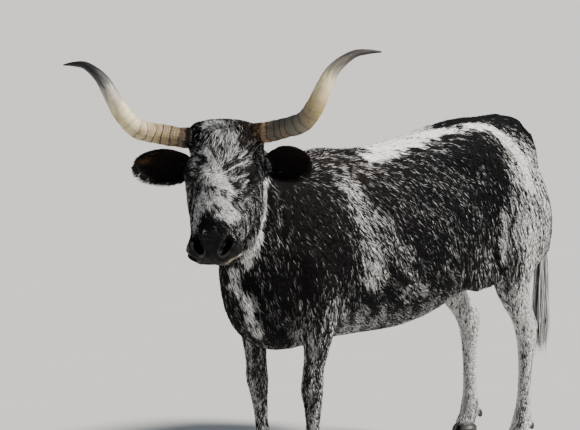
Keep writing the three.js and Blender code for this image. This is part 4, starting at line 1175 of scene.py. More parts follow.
def grow_coat(skin):
    """All tufts of the short coat, in pieces by their place on the body."""
    draw = np.random.default_rng(bpy.context.scene.longhorn_coat.seed)
    roots, fronts = scatter(skin, lambda middles: coat_sizes(middles)[0], draw)
    count = len(roots)
    _, length, width, lift = coat_sizes(roots)
    from_start = to_start(roots)
    lie = lie_of(roots, fronts)
    sides = np.cross(lie, fronts)
    sway = sum(waves(from_start, *sizes) * weight for *sizes, weight in SWAYS)
    sway = sway + draw.normal(0, SWAY_SPREAD, count)
    ways = unit(lie * np.cos(sway)[:, None] + sides * np.sin(sway)[:, None])
    sides = np.cross(ways, fronts)
    length = length * draw.uniform(0.65, 1.3, count)
    width = width * draw.uniform(0.75, 1.25, count)
    lift = lift * draw.uniform(0.3, 1.5, count) * (1 + 0.35 * np.clip(waves(from_start, 0.03, 23), -1, 1.5))
    tree = tree_over(skin)
    found = [tree.find_nearest(place)[:2] for place in roots + ways * length[:, None]]
    nearest = np.array([hit[0] for hit in found])
    tip_fronts = np.array([hit[1] for hit in found])
    tips = nearest + tip_fronts * lift[:, None]
    buried = roots - fronts * (width * 0.35)[:, None]
    across = sides * (width / 2)[:, None]
    ridges = roots + (nearest - roots) * RIDGE_SHARE + fronts * (lift * 0.25 + width * 0.4)[:, None]
    tints = dict(zip(("white", "brown", "tone"), coat_tints(roots, lie, draw)))
    names = coat_pieces(roots)
    made = []
    for name in sorted(set(names)):
        rows = np.nonzero(names == name)[0]
        lefts, rights = buried[rows] - across[rows], buried[rows] + across[rows]
        piece = tuft_mesh(name, lefts, rights, ridges[rows], tips[rows])
        for key, values in tints.items():
            set_values(piece, key, np.repeat(values[rows], 4))
        set_values(piece, "tip", np.tile(TUFT_TIPS, len(rows)))
        flat_points = unwrap(name, roots[rows])[:, None, :] + np.array(TUFT_SPREAD)[None] * PATCH_SIZE
        bake_map(piece, flat_points.reshape(-1, 2))
        shade_smooth(piece)
        made.append(piece)
    return made


# Horns: how far to her left, forward and up from the poll, and the radius as a share

HORN_RADIUS = 0.035
HORN_STATIONS = [
    (0.088, 0.0, -0.066, 1.0), (0.137, 0.005, -0.063, 1.0), (0.212, 0.025, -0.047, 0.99),
    (0.283, 0.058, -0.025, 0.97), (0.33, 0.08, 0.028, 0.9), (0.364, 0.088, 0.092, 0.79),
    (0.402, 0.076, 0.154, 0.62), (0.46, 0.046, 0.196, 0.4), (0.508, 0.026, 0.203, 0.25),
    (0.552, 0.005, 0.2, 0.07),
]
RIGHT_HORN_SHIFT = (-0.009, -0.01)
HORN_STEPS = 110
HORN_SIDES = 28
HORN_START = 0.05
# The points that stand for the middle line of the horn, and a short step along it
HORN_LINE_POINTS = 60
HORN_STEP = 0.01
# Where the painted highlight on the outer edge is brightest and how far it runs, as shares of the length
HIGHLIGHT_SHARE = 0.44
HIGHLIGHT_REACH = 0.07


def horn_place(hand, row):
    """A point of a horn's middle line and its radius."""
    aside, forward, rise, radius = row
    shift_aside, shift_rise = (0, 0) if hand > 0 else RIGHT_HORN_SHIFT
    return on_crown(hand * aside + shift_aside, forward, rise + shift_rise), radius * HORN_RADIUS


def line_places(line, shares):
    """The places at some shares of a line of points."""
    steps = np.linspace(0, 1, len(line))
    return np.stack([np.interp(shares, steps, line[:, i]) for i in range(3)], 1)


def make_horn(hand):
    """One horn, ringed towards its root and smooth at its tip."""
    rings = []
    for k in range(HORN_STEPS + 1):
        t = HORN_START + (1 - HORN_START) * k / HORN_STEPS
        middle, radius = horn_place(hand, through(HORN_STATIONS, t))
        ahead_of, _ = horn_place(hand, through(HORN_STATIONS, min(t + HORN_STEP, 1)))
        behind, _ = horn_place(hand, through(HORN_STATIONS, t - HORN_STEP))
        tangent = (ahead_of - behind).normalized()
        side = tangent.cross(heading).normalized()
        up = side.cross(tangent).normalized()
        ringed = (1 - t) ** 1.6
        ripple = math.sin(t * 118 + 1.3 * math.sin(t * 31 + hand)) * 0.0011 + math.sin(t * 43 + hand) * 0.0009
        ring = []
        for i in range(HORN_SIDES):
            angle = 2 * math.pi * i / HORN_SIDES
            facet = 0.0005 * math.sin(5 * angle + 2.2 * t) + 0.0004 * math.sin(9 * angle - 3 * t)
            reach = radius + (ripple * ringed + facet * (radius / HORN_RADIUS))
            ring.append(middle + side * math.cos(angle) * reach + up * math.sin(angle) * reach)
        rings.append(ring)
    horn = extrude_rings("horn_shell_" + side_of(hand), rings)
    points = points_of(horn)
    shares = np.linspace(0, 1, HORN_LINE_POINTS)
    line = np.array([horn_place(hand, through(HORN_STATIONS, t))[0] for t in shares])
    _, place = line_distance(points, line)
    set_values(horn, "share", place)
    # The grain runs along the horn: it reads the way round, which is kept as a place on a circle.
    away = unit(points - line_places(line, place))
    tangents = unit(line_places(line, place + HORN_STEP) - line_places(line, place - HORN_STEP))
    side = unit(np.cross(tangents, np.array(heading)[None]))
    set_values(horn, "grain_x", (away * side).sum(1))
    set_values(horn, "grain_y", (away * np.cross(side, tangents)).sum(1))
    # The outer side near the bend gets a painted highlight
    outer = away @ np.array((crown_left * hand - UP * 0.5).normalized())
    near_highlight = np.exp(-(((place - HIGHLIGHT_SHARE) / HIGHLIGHT_REACH) ** 2))
    set_values(horn, "edge", smooth_step(0.1, 0.9, outer) * near_highlight)
    return horn


# Hooves

CROWN_ROOT = 0.012
HOOF_SIDES = 32
CLAW_RINGS = 23
# Rings of a claw: height, and how far it runs ahead, back and across, as shares of its length and width
CLAW_STATIONS = [
    (0.0, 0.6, 0.33, 0.97), (0.0025, 0.64, 0.358, 1.0), (0.012, 0.608, 0.36, 1.0), (0.02, 0.572, 0.358, 1.0),
    (0.035, 0.518, 0.358, 0.985), (0.05, 0.466, 0.358, 0.965), (0.062, 0.42, 0.366, 0.93),
]
# The same at the crown and inside the leg
CLAW_CROWN = (0.385, 0.372, 0.885)
CLAW_ROOT = (0.28, 0.26, 0.66)
CLAW_MIDDLE = 0.64
CLAW_RIPPLE = 0.0003


def make_claw(node):
    """One half of a hoof: a flat sole, a sloping ringed front, and a root hidden in the leg."""
    low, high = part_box(node)
    length = high.x - low.x
    width = high.y - low.y
    middle = low.x + length * CLAW_MIDDLE
    partner = node.replace("_inner", "_outer") if "_inner" in node else node.replace("_outer", "_inner")
    hand = 1 if middle_of(node).y > middle_of(partner).y else -1
    inner = low.y if hand > 0 else high.y
    rows = [*CLAW_STATIONS, (high.z, *CLAW_CROWN), (high.z + CROWN_ROOT, *CLAW_ROOT)]
    rings = []
    for share in np.linspace(0, 1, CLAW_RINGS):
        place = share * (len(rows) - 1)
        height, front, back, wide = through(rows, share)
        ripple = CLAW_RIPPLE * (math.sin(height * 410) + 0.8 * math.sin(height * 970 + 1)) * (1 < place < 7)
        ring = []
        for i in range(HOOF_SIDES):
            angle = 2 * math.pi * i / HOOF_SIDES
            c = math.cos(angle)
            reach = (front if c > 0 else back) * length
            across = (math.sin(angle) * hand + 1) / 2
            pinch = 1 - 0.35 * c * c if c > 0 else 1 - 0.15 * c * c
            swell = ripple * (0.4 + 0.6 * across if hand > 0 else 0.4 + 0.6 * (1 - across))
            y = inner + hand * (width * wide * pinch + swell) * (math.sin(angle) + 1) / 2
            ring.append(Vector((middle - c * (reach + swell), y, height)))
        rings.append(ring)
    return extrude_rings(node.replace("hoof", "claw"), rings)


DEWCLAW_HEIGHT = 0.118
DEWCLAW_ASIDE = 0.019
DEWCLAW_HALVES = (0.0115, 0.0095, 0.0185)


def make_dewclaws(pair, side, tree):
    """The two small claws behind one foot, half sunk in the skin."""
    low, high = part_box("hoof_%s_%s_inner" % (pair, side))
    other_low, other_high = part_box("hoof_%s_%s_outer" % (pair, side))
    middle_y = (min(low.y, other_low.y) + max(high.y, other_high.y)) / 2
    deselect_all()
    made = []
    for aside in (-DEWCLAW_ASIDE, DEWCLAW_ASIDE):
        start = Vector((high.x + 0.2, middle_y + aside * 0.8, DEWCLAW_HEIGHT + 0.006))
        hit = tree.ray_cast(start, Vector((-1, 0, 0)))[0]
        place = (hit.x - 0.0015, middle_y + aside, DEWCLAW_HEIGHT)
        bpy.ops.mesh.primitive_uv_sphere_add(segments=20, ring_count=14, location=place)
        claw = bpy.context.active_object
        claw.scale = DEWCLAW_HALVES
        claw.rotation_euler = (0, math.radians(-24), 0)
        made.append(claw)
    for claw in made:
        claw.select_set(True)
    bpy.ops.object.transform_apply(location=True, rotation=True, scale=True)
    bpy.ops.object.join()
    joined = bpy.context.active_object
    joined.name = "dewclaws_%s_%s" % (pair, side)
    points = points_of(joined)
    points[:, 0] += 0.0005 * np.sin(points[:, 2] * 900)
    set_points(joined, points)
    return joined


# Eyes and lids

EYE_BULGE = 0.0009
RIM_THICKNESS = 0.0165
RIM_PROUD = 0.0007


def make_eye(hand):
    """One eyeball with attributes that lie along its slit and across it."""
    middle, slit, lift, gaze = eye_axes(hand)
    deselect_all()
    bpy.ops.mesh.primitive_uv_sphere_add(segments=48, ring_count=32, radius=EYE_RADIUS)
    eye = bpy.context.active_object
    eye.name = "eyeball_" + side_of(hand)
    turn = Matrix((slit, lift, gaze)).transposed()
    local = points_of(eye)
    local[:, 2] += smooth_step(0.72, 1.0, local[:, 2] / EYE_RADIUS) * EYE_BULGE
    set_points(eye, local @ np.array(turn).T + np.array(middle))
    set_values(eye, "across", local[:, 0])
    set_values(eye, "high", local[:, 1])
    shade_smooth(eye)
    return eye


def by_eye(hand, across, high, deep):
    """Points by their places along the slit, over it and out of the eye."""
    middle, slit, lift, gaze = (np.array(v) for v in eye_axes(hand))
    return middle + across[:, None] * slit + high[:, None] * lift + deep[:, None] * gaze


def slit_edge(across):
    """Half the height of the open slit, at a distance along it."""
    return SLIT_HALF_HEIGHT * max(0.0, 1 - (across / SLIT_HALF_LENGTH) ** 2)


def make_lid_rim(hand):
    """The wet dark edge of both lids, a thin almond ring laid on the ball."""
    deselect_all()
    bpy.ops.mesh.primitive_torus_add(major_segments=64, minor_segments=10, major_radius=1, minor_radius=0.1)
    rim = bpy.context.active_object
    rim.name = "lid_rim_" + side_of(hand)
    local = points_of(rim)
    angle = np.arctan2(local[:, 1], local[:, 0])
    away = (np.hypot(local[:, 0], local[:, 1]) - 1) * RIM_THICKNESS
    raised = local[:, 2] * RIM_THICKNESS
    across = SLIT_HALF_LENGTH * np.cos(angle)
    high = np.sin(angle) * SLIT_HALF_HEIGHT * np.abs(np.sin(angle)) ** 0.6
    outward = unit(np.stack([np.cos(angle) * 0.6, np.sin(angle)], 1))
    across, high = across + outward[:, 0] * away, high + outward[:, 1] * away
    deep = np.sqrt(np.clip((EYE_RADIUS + RIM_PROUD) ** 2 - across**2 - high**2, 1e-7, None)) + raised
    set_points(rim, by_eye(hand, across, high, deep))
    shade_smooth(rim)
    return rim


LASH_COUNT = 46
LASH_WIDTH = 0.0011
LASH_PROUD = 0.0012


def make_lashes(hand, draw):
    """The upper lid's lashes, which bend down and outward."""
    _, slit, lift, gaze = (np.array(v) for v in eye_axes(hand))
    shares = np.linspace(-0.88, 0.85, LASH_COUNT) + draw.normal(0, 0.02, LASH_COUNT)
    across = shares * SLIT_HALF_LENGTH
    high = np.array([slit_edge(a) for a in across]) + LASH_PROUD
    deep = np.sqrt((EYE_RADIUS + LASH_PROUD) ** 2 - across**2 - high**2)
    roots = by_eye(hand, across, high, deep)
    ways = gaze[None] * 1.0 + lift[None] * 0.25 + slit[None] * (shares * 0.5)[:, None]
    ways = unit(ways + draw.normal(0, 0.08, ways.shape))
    bends = np.repeat(-lift[None] * 0.006, LASH_COUNT, 0)
    fronts = np.repeat(lift[None], LASH_COUNT, 0)
    lengths = draw.uniform(0.009, 0.014, LASH_COUNT)
    widths = np.full(LASH_COUNT, LASH_WIDTH)
    roots = roots - ways * 0.001
    return lock_mesh("lashes_" + side_of(hand), roots, ways, bends, fronts, lengths, widths, 3)[0]


# Long hair, as flat locks that taper and bend


def over_map(first, second):
    """Two rows of numbers, each spread over the bake map."""
    return np.stack([fit(values, 2 * BAKE_MARGIN, 1 - 2 * BAKE_MARGIN) for values in (first, second)], 1)


def lock_mesh(name, roots, ways, bends, fronts, lengths, widths, steps):
    """Closed tapered locks, each with rings of four points between a root and a tip."""
    count = len(roots)
    flats = unit(np.cross(fronts, ways))
    rows = [roots[:, None, :]]
    for k in range(steps):
        t = (k + 0.4) / steps
        middles = roots + ways * (lengths * t)[:, None] + bends * t * t
        half = (widths / 2 * (1 - t**2.2) * (0.55 + 0.9 * min(t * 2.2, 0.5)))[:, None]
        thick = half * 0.4
        rows.append(np.stack([middles + flats * half, middles + fronts * thick,
                              middles - flats * half, middles - fronts * thick], 1))
    tips = roots + ways * lengths[:, None] + bends
    rows.append(tips[:, None, :])
    points = np.concatenate(rows, 1)
    each = points.shape[1]
    faces = []
    for i in range(4):
        j = (i + 1) % 4
        faces.append((0, 1 + j, 1 + i))
        for k in range(steps - 1):
            a, b = 1 + 4 * k + i, 1 + 4 * k + j
            faces += [(a, b, b + 4), (a, b + 4, a + 4)]
        last = 1 + 4 * (steps - 1)
        faces.append((last + i, last + j, each - 1))
    triangles = np.array(faces)[None] + each * np.arange(count)[:, None, None]
    made = mesh_object(name, points.reshape(-1, 3), triangles.reshape(-1, 3))
    shares = np.concatenate([[0]] + [[(k + 0.4) / steps] * 4 for k in range(steps)] + [[1]])
    set_values(made, "tip", np.tile(shares, count))
    shade_smooth(made)
    return made, each


def dress_locks(made, each, white, brown, tone, flat_roots):
    """Colours and a bake map for locks, one colour for each lock."""
    for key, values in (("white", white), ("brown", brown), ("tone", tone)):
        set_values(made, key, np.repeat(values, each))
    count = len(white)
    tips = np.empty(len(made.data.vertices), np.float32)
    made.data.attributes["tip"].data.foreach_get("value", tips)
    tips = tips.reshape(count, each)
    sway = np.zeros((count, each))
    sway[:, 1:-1] = np.tile([0.5, 0.1, -0.5, -0.1], (each - 2) // 4)
    flat_points = flat_roots[:, None, :] + np.stack([sway, tips - 0.5], 2) * PATCH_SIZE
    bake_map(made, flat_points.reshape(-1, 2))
    return made


# Heights over the animal's own start: of the switch's core, its highest and lowest roots and its lowest tip
CORE_TOP = 0.79
SWITCH_TOP = 0.88
SWITCH_ROOTS_END = 0.575
SWITCH_LOW = 0.335
SWITCH_LOCKS = 1150
CORE_STEPS = 14
CORE_SIDES = 16
CORE_SHARE = 0.75
CORE_TINTS = {"tip": 0.2, "white": 0.55, "brown": 0.1, "tone": 0.2}


def make_switch_core():
    """The short thick middle of the switch, under its locks."""
    middles, radii = tail_place(np.linspace(CORE_TOP, TAIL_LINE[-1][2], CORE_STEPS + 1))
    turns = np.linspace(0, 2 * math.pi, CORE_SIDES + 1)[:-1]
    ways = [Vector((math.cos(turn), math.sin(turn), 0)) for turn in turns]
    rings = [[START + Vector(middle) + way * (radius * CORE_SHARE) for way in ways]
             for middle, radius in zip(middles, radii)]
    core = extrude_rings("switch_core", rings)
    for key, value in CORE_TINTS.items():
        set_values(core, key, np.full(len(core.data.vertices), value))
    shade_smooth(core)
    return core


def make_switch(draw):
    """The many locks of the tail's switch, which hang round its core."""
    spread = draw.random(SWITCH_LOCKS) ** 0.9
    heights = SWITCH_TOP - spread * (SWITCH_TOP - SWITCH_ROOTS_END)
    angles = draw.uniform(0, 2 * math.pi, SWITCH_LOCKS)
    middles, radii = tail_place(heights)
    fronts = np.stack([np.cos(angles), np.sin(angles), np.zeros(SWITCH_LOCKS)], 1)
    roots = np.array(START) + middles + fronts * (radii * 0.93)[:, None]
    reach = smooth_step(0.0, 0.35, spread)
    fall = (heights - 0.06 - SWITCH_LOW - 0.05) * reach * draw.uniform(0.6, 1, SWITCH_LOCKS)
    bottoms = heights - 0.06 - fall + draw.normal(0, 0.025, SWITCH_LOCKS)
    lengths = heights - np.clip(bottoms, SWITCH_LOW, heights - 0.04)
    swell = 0.05 + 0.05 * reach
    ways = unit(np.array([-0.01, 0.0, -1.0]) + fronts * swell[:, None] + draw.normal(0, 0.016, fronts.shape))
    bends = -fronts * (lengths * swell * 0.9)[:, None] + draw.normal(0, 0.008, fronts.shape) * [1, 1, 0]
    widths = draw.uniform(0.0032, 0.0062, SWITCH_LOCKS) * (0.7 + 0.3 * reach)
    switch, each = lock_mesh("switch_hair", roots, ways, bends, fronts, lengths, widths, 6)
    strands = 0.5 * np.sin(angles * 5 + 1) + draw.normal(0, 0.5, SWITCH_LOCKS) + 0.95 - spread * 0.6
    white = smooth_step(-0.15, 0.25, strands)
    brown = np.full(SWITCH_LOCKS, 0.1)
    tone = draw.uniform(0.1, 0.9, SWITCH_LOCKS)
    return dress_locks(switch, each, white, brown, tone, over_map(angles, heights))


POLL_LOCKS = 900
# How far long hair is rooted under the skin
ROOT_DEPTH = 0.002


def ground_on(tree, places, ways):
    """Where rays from the places meet the skin, or its nearest points, with the skin's normals there."""
    roots = []
    fronts = []
    for place, way in zip(places, ways):
        hit, normal = tree.ray_cast(Vector(place), Vector(way))[:2]
        if hit is None:
            hit, normal = tree.find_nearest(Vector(place))[:2]
        roots.append(np.array(hit))
        fronts.append(np.array(normal))
    return np.array(roots), np.array(fronts)


def make_poll_hair(tree, draw):
    """Longer hair between the horns: it stands up along the top and falls forward over the forehead."""
    asides = np.clip(draw.normal(-0.004, 0.058, POLL_LOCKS), -0.108, 0.1)
    shares = draw.uniform(-0.015, 0.15, POLL_LOCKS)
    starts = [on_face(share, aside, 0.15) for share, aside in zip(shares, asides)]
    roots, fronts = ground_on(tree, starts, [-out + along * 0.25] * POLL_LOCKS)
    top = 1 - smooth_step(0.0, 0.05, shares)
    middle = np.exp(-((asides / 0.055) ** 2))
    lengths = draw.uniform(0.026, 0.046, POLL_LOCKS) * (0.75 + 0.5 * middle)
    ways = np.array(along)[None] + np.array(face_left)[None] * (asides / 0.16)[:, None]
    standing = (top * middle)[:, None]
    ways = unit(ways - fronts * (ways * fronts).sum(1, keepdims=True)) + fronts * (0.12 + 0.3 * standing)
    ways = unit(ways + np.array(UP) * (0.95 * standing) + draw.normal(0, 0.07, ways.shape))
    bends = -fronts * (lengths * 0.12)[:, None] + draw.normal(0, 0.002, ways.shape)
    widths = draw.uniform(0.0016, 0.003, POLL_LOCKS)
    made, each = lock_mesh("poll_hair", roots - fronts * ROOT_DEPTH, ways, bends, fronts, lengths, widths, 4)
    white, brown = markings(roots)
    chance = smooth_step(-0.15, 0.15, white - draw.random(POLL_LOCKS)) * (np.abs(asides) < 0.09)
    tone = draw.uniform(0.25, 0.8, POLL_LOCKS)
    return dress_locks(made, each, chance, brown, tone, over_map(asides, shares))


COLLAR_LOCKS = 1300
COLLAR_FROM = 0.1
COLLAR_TO = {1: 0.124, -1: 0.134}
COLLAR_BROWN = {1: 0.22, -1: 0.05}


def make_horn_collar(hand, draw):
    """Hair of the poll that runs out over the root of one horn."""
    asides = COLLAR_FROM + (COLLAR_TO[hand] - COLLAR_FROM) * draw.random(COLLAR_LOCKS) ** 1.5
    angles = draw.uniform(0, 2 * math.pi, COLLAR_LOCKS)
    first, last = (np.array(horn_place(hand, row)[0]) for row in HORN_STATIONS[:2])
    axis = unit(last - first)
    side = unit(np.cross(axis, np.array(heading)))
    up = np.cross(side, axis)
    fronts = np.cos(angles)[:, None] * side + np.sin(angles)[:, None] * up
    reach = (asides - HORN_STATIONS[0][0]) / (HORN_STATIONS[1][0] - HORN_STATIONS[0][0])
    roots = first + (last - first) * reach[:, None] + fronts * (HORN_RADIUS * 0.985)
    ways = unit(axis[None] + fronts * 0.07 + draw.normal(0, 0.13, fronts.shape))
    lengths = draw.uniform(0.006, 0.0135, COLLAR_LOCKS)
    bends = -fronts * (lengths * 0.04)[:, None]
    widths = draw.uniform(0.0014, 0.0028, COLLAR_LOCKS)
    made, each = lock_mesh("horn_hair_" + side_of(hand), roots, ways, bends, fronts, lengths, widths, 3)
    white = np.zeros(COLLAR_LOCKS)
    brown = np.full(COLLAR_LOCKS, COLLAR_BROWN[hand])
    tone = draw.uniform(0.2, 0.8, COLLAR_LOCKS)
    return dress_locks(made, each, white, brown, tone, over_map(angles, asides))


CREST_LOCKS = 1500
CREST_LENGTH = 0.034
# From the neck to behind the withers, from the animal's own start, and a height over all of it
CREST_RUN = (-0.86, -0.08)
ABOVE_BACK = 1.6


def make_crest_hair(tree, draw):
    """The longer wisps along the top of the neck and the withers."""
    along_back = draw.uniform(*CREST_RUN, CREST_LOCKS)
    asides = draw.normal(0, 0.05, CREST_LOCKS)
    starts = [START + Vector((x, y, ABOVE_BACK)) for x, y in zip(along_back, asides)]
    roots, fronts = ground_on(tree, starts, [-UP] * CREST_LOCKS)
    fade = smooth_step(-0.08, -0.2, along_back)
    lengths = CREST_LENGTH * draw.uniform(0.5, 1.25, CREST_LOCKS) * (0.35 + 0.65 * fade)
    ways = lie_of(roots, fronts) + fronts * draw.uniform(0.1, 0.42, CREST_LOCKS)[:, None]
    ways = unit(ways + draw.normal(0, 0.12, ways.shape))
    bends = -fronts * (lengths * 0.1)[:, None]
    widths = draw.uniform(0.0018, 0.0034, CREST_LOCKS)
    made, each = lock_mesh("crest_hair", roots - fronts * ROOT_DEPTH, ways, bends, fronts, lengths, widths, 3)
    white, brown = markings(roots)
    chance = smooth_step(-0.15, 0.15, white - draw.random(CREST_LOCKS))
    brown = np.clip(brown + 0.1, 0, 1)
    tone = draw.uniform(0.0, 0.7, CREST_LOCKS)
    return dress_locks(made, each, chance, brown, tone, over_map(along_back, asides))


EAR_LOCKS = 900
# Past this share of a half turn a lock grows from the ear's rim, below it from inside the cup
EAR_RIM = 0.4
LOWER_FRINGE = 0.026
UPPER_FRINGE = 0.007
CUP_HAIR = 0.017
# The brown of the cup's glow, weaker in her left ear
CUP_GLOW = {1: 0.3, -1: 0.8}


def make_ear_hair(hand, draw):
    """The fringe round one ear's rim, longest below, and the hair inside its cup."""
    root, axis, upward, front, length = (np.array(v) for v in ear_axes(hand))
    shares = draw.uniform(0.2, 0.97, EAR_LOCKS)
    low = draw.random(EAR_LOCKS) < 0.62
    turns = np.where(low, draw.normal(-0.47, 0.025, EAR_LOCKS), draw.uniform(-0.5, 0.46, EAR_LOCKS))
    turns = np.clip(turns, -0.5, 0.5)
    roots, ways, reach = [], [], []
    for share, turn in zip(shares, turns):
        t, half, bow, thick = through(EAR_STATIONS, share)
        angle = math.pi * turn
        deep = math.cos(angle)
        place = root + axis * (t * length) + upward * (math.sin(angle) * half * EAR_WIDTH / 2)
        if turn < -EAR_RIM:
            aside, far = upward * -0.85, LOWER_FRINGE
        elif turn > EAR_RIM:
            aside, far = upward * 0.5, UPPER_FRINGE
        else:
            aside, far = upward * -0.1 + front * 0.45, CUP_HAIR
        roots.append(place - front * (bow * deep - thick * 0.3))
        ways.append(axis * (0.55 + 0.3 * t) + aside)
        reach.append(far * (1 - 0.55 * max(share - 0.7, 0) / 0.3))
    fronts = np.repeat(front[None], EAR_LOCKS, 0)
    ways = unit(unit(np.array(ways)) + draw.normal(0, 0.1, fronts.shape))
    lengths = np.array(reach) * draw.uniform(0.6, 1.2, EAR_LOCKS)
    bends = axis[None] * (lengths * 0.25)[:, None] - fronts * (lengths * 0.12)[:, None]
    widths = draw.uniform(0.0013, 0.0026, EAR_LOCKS)
    roots = np.array(roots) - ways * ROOT_DEPTH
    made, each = lock_mesh("ear_hair_" + side_of(hand), roots, ways, bends, fronts, lengths, widths, 4)
    white = (draw.random(EAR_LOCKS) < 0.015).astype(float)
    glow = (np.abs(turns) < 0.3) & (np.abs(shares - 0.68) < 0.16)
    brown = np.clip(draw.normal(0.05, 0.05, EAR_LOCKS) + CUP_GLOW[hand] * glow, 0, 1)
    tone = draw.uniform(0.2, 0.8, EAR_LOCKS)
    return dress_locks(made, each, white, brown, tone, over_map(turns, shares))


# Finishes


class Value:
    """A socket that can be reckoned with."""

    def __init__(self, finish, socket):
        self.finish = finish
        self.socket = socket

    def reckon(self, operation, *numbers):
        """One step of arithmetic with one or two numbers."""
        return self.finish.node("ShaderNodeMath", {"operation": operation}, dict(enumerate(numbers)))

    def __add__(self, other):
        return self.reckon("ADD", self, other)

    def __sub__(self, other):
        return self.reckon("SUBTRACT", self, other)

    def __mul__(self, other):
        return self.reckon("MULTIPLY", self, other)

    def __rsub__(self, other):
        return self.reckon("SUBTRACT", other, self)

    __radd__ = __add__
    __rmul__ = __mul__

    def sine(self):
        """The sine, for rings."""
        return self.reckon("SINE", self)

    def root(self):
        """The square root."""
        return self.reckon("SQRT", self)


class Finish:
    """A material as it is made. Every node comes from one method."""

    def __init__(self, name):
        self.material = bpy.data.materials.new(name)
        self.material.use_nodes = True
        self.tree = self.material.node_tree
        self.tree.nodes.clear()

    def node(self, kind, settings=None, inputs=None, output=0):
        """A node with its settings, its inputs as numbers or links, and the socket that is read."""
        made = self.tree.nodes.new(kind)
        for key, value in (settings or {}).items():
            if key == "stops":
                self.set_stops(made.color_ramp, value)
            else:
                setattr(made, key, value)
        for key, value in (inputs or {}).items():
            if isinstance(value, Value):
                self.tree.links.new(value.socket, made.inputs[key])
            else:
                made.inputs[key].default_value = value
        return Value(self, made.outputs[output]) if made.outputs else None

    def set_stops(self, ramp, stops):
        """Fills a ramp with places and colours."""
        while len(ramp.elements) < len(stops):
            ramp.elements.new(1)
        for element, (place, colour) in zip(ramp.elements, stops):
            element.position = place
            element.color = (*colour, 1)

    def attribute(self, name):
        """A number that the mesh keeps for each of its points."""
        return self.node("ShaderNodeAttribute", {"attribute_name": name}, output="Fac")

    def places(self, scale=(1, 1, 1)):
        """The object's own places, stretched."""
        texture = self.node("ShaderNodeTexCoord", output="Object")
        return self.node("ShaderNodeMapping", {}, {"Vector": texture, "Scale": scale})

    def noise(self, scale, detail=3, stretch=(1, 1, 1), places=None):
        """Soft noise over the object's own places, or over others."""
        inputs = {"Vector": places or self.places(stretch), "Scale": scale, "Detail": detail}
        return self.node("ShaderNodeTexNoise", {}, inputs)

    def clamp(self, value, low, high):
        """The value's run from low to high, as 0 to 1."""
        inputs = {"Value": value, "From Min": low, "From Max": high}
        return self.node("ShaderNodeMapRange", {}, inputs)

    def ramp(self, value, stops):
        """Colours by a value, between stops."""
        return self.node("ShaderNodeValToRGB", {"stops": stops}, {"Fac": value})

    def mix(self, factor, first, second, blend="MIX"):
        """One colour over another. Each is a socket or three numbers."""
        first, second = (side if isinstance(side, Value) else (*side, 1) for side in (first, second))
        settings = {"data_type": "RGBA", "blend_type": blend}
        return self.node("ShaderNodeMix", settings, {0: factor, 6: first, 7: second}, output=2)

    def bump(self, height, distance, strength):
        """Relief from a height."""
        inputs = {"Height": height, "Distance": distance, "Strength": strength}
        return self.node("ShaderNodeBump", {}, inputs)

    def surface(self, **inputs):
        """The shader with its sockets, joined to the output."""
        named = {key.replace("_", " ").title().replace("Ior", "IOR"): value for key, value in inputs.items()}
        shader = self.node("ShaderNodeBsdfPrincipled", {}, named)
        self.node("ShaderNodeOutputMaterial", {}, {"Surface": shader})
        return self.material


def coat_colour(finish, white, colours):
    """Dark or pale hair by a mask, with brown tips and tone from the attributes."""
    brown = finish.attribute("brown")
    tone = finish.attribute("tone")
    tip = finish.attribute("tip")
    dark = finish.mix(brown * (tip * 0.6 + 0.4), colours.dark_hair, colours.brown_hair)
    pale = finish.mix(tone, colours.grey_hair, colours.white_hair)
    hair = finish.mix(white, dark, pale)
    shade = finish.clamp(tone * 0.5 + tip * 0.6, 0.0, 1.0) * 0.62 + 0.5
    grey = finish.node("ShaderNodeCombineColor", {}, {0: shade, 1: shade, 2: shade})
    return finish.mix(1.0, hair, grey, "MULTIPLY")


def coat_finish():
    """Short and long hair."""
    colours = bpy.context.scene.longhorn_colours
    finish = Finish("coat")
    colour = coat_colour(finish, finish.attribute("white"), colours)
    streak = finish.noise(900, 2)
    rough = finish.clamp(streak, 0.3, 0.7) * 0.15 + 0.5
    return finish.surface(base_color=colour, roughness=rough, specular_ior_level=0.1)


LIP_DARK = (0.13, 0.11, 0.095)
# Pale band on the nostrils' edges, a painted highlight, also laid on the creases over the muzzle
RIM_HIGHLIGHT_AND_CREASE = (0.11, 0.095, 0.085)
# Near black inside the nostrils: painted shade in their hollows
NOSTRIL_PAINTED_SHADE = (0.0012, 0.001, 0.001)


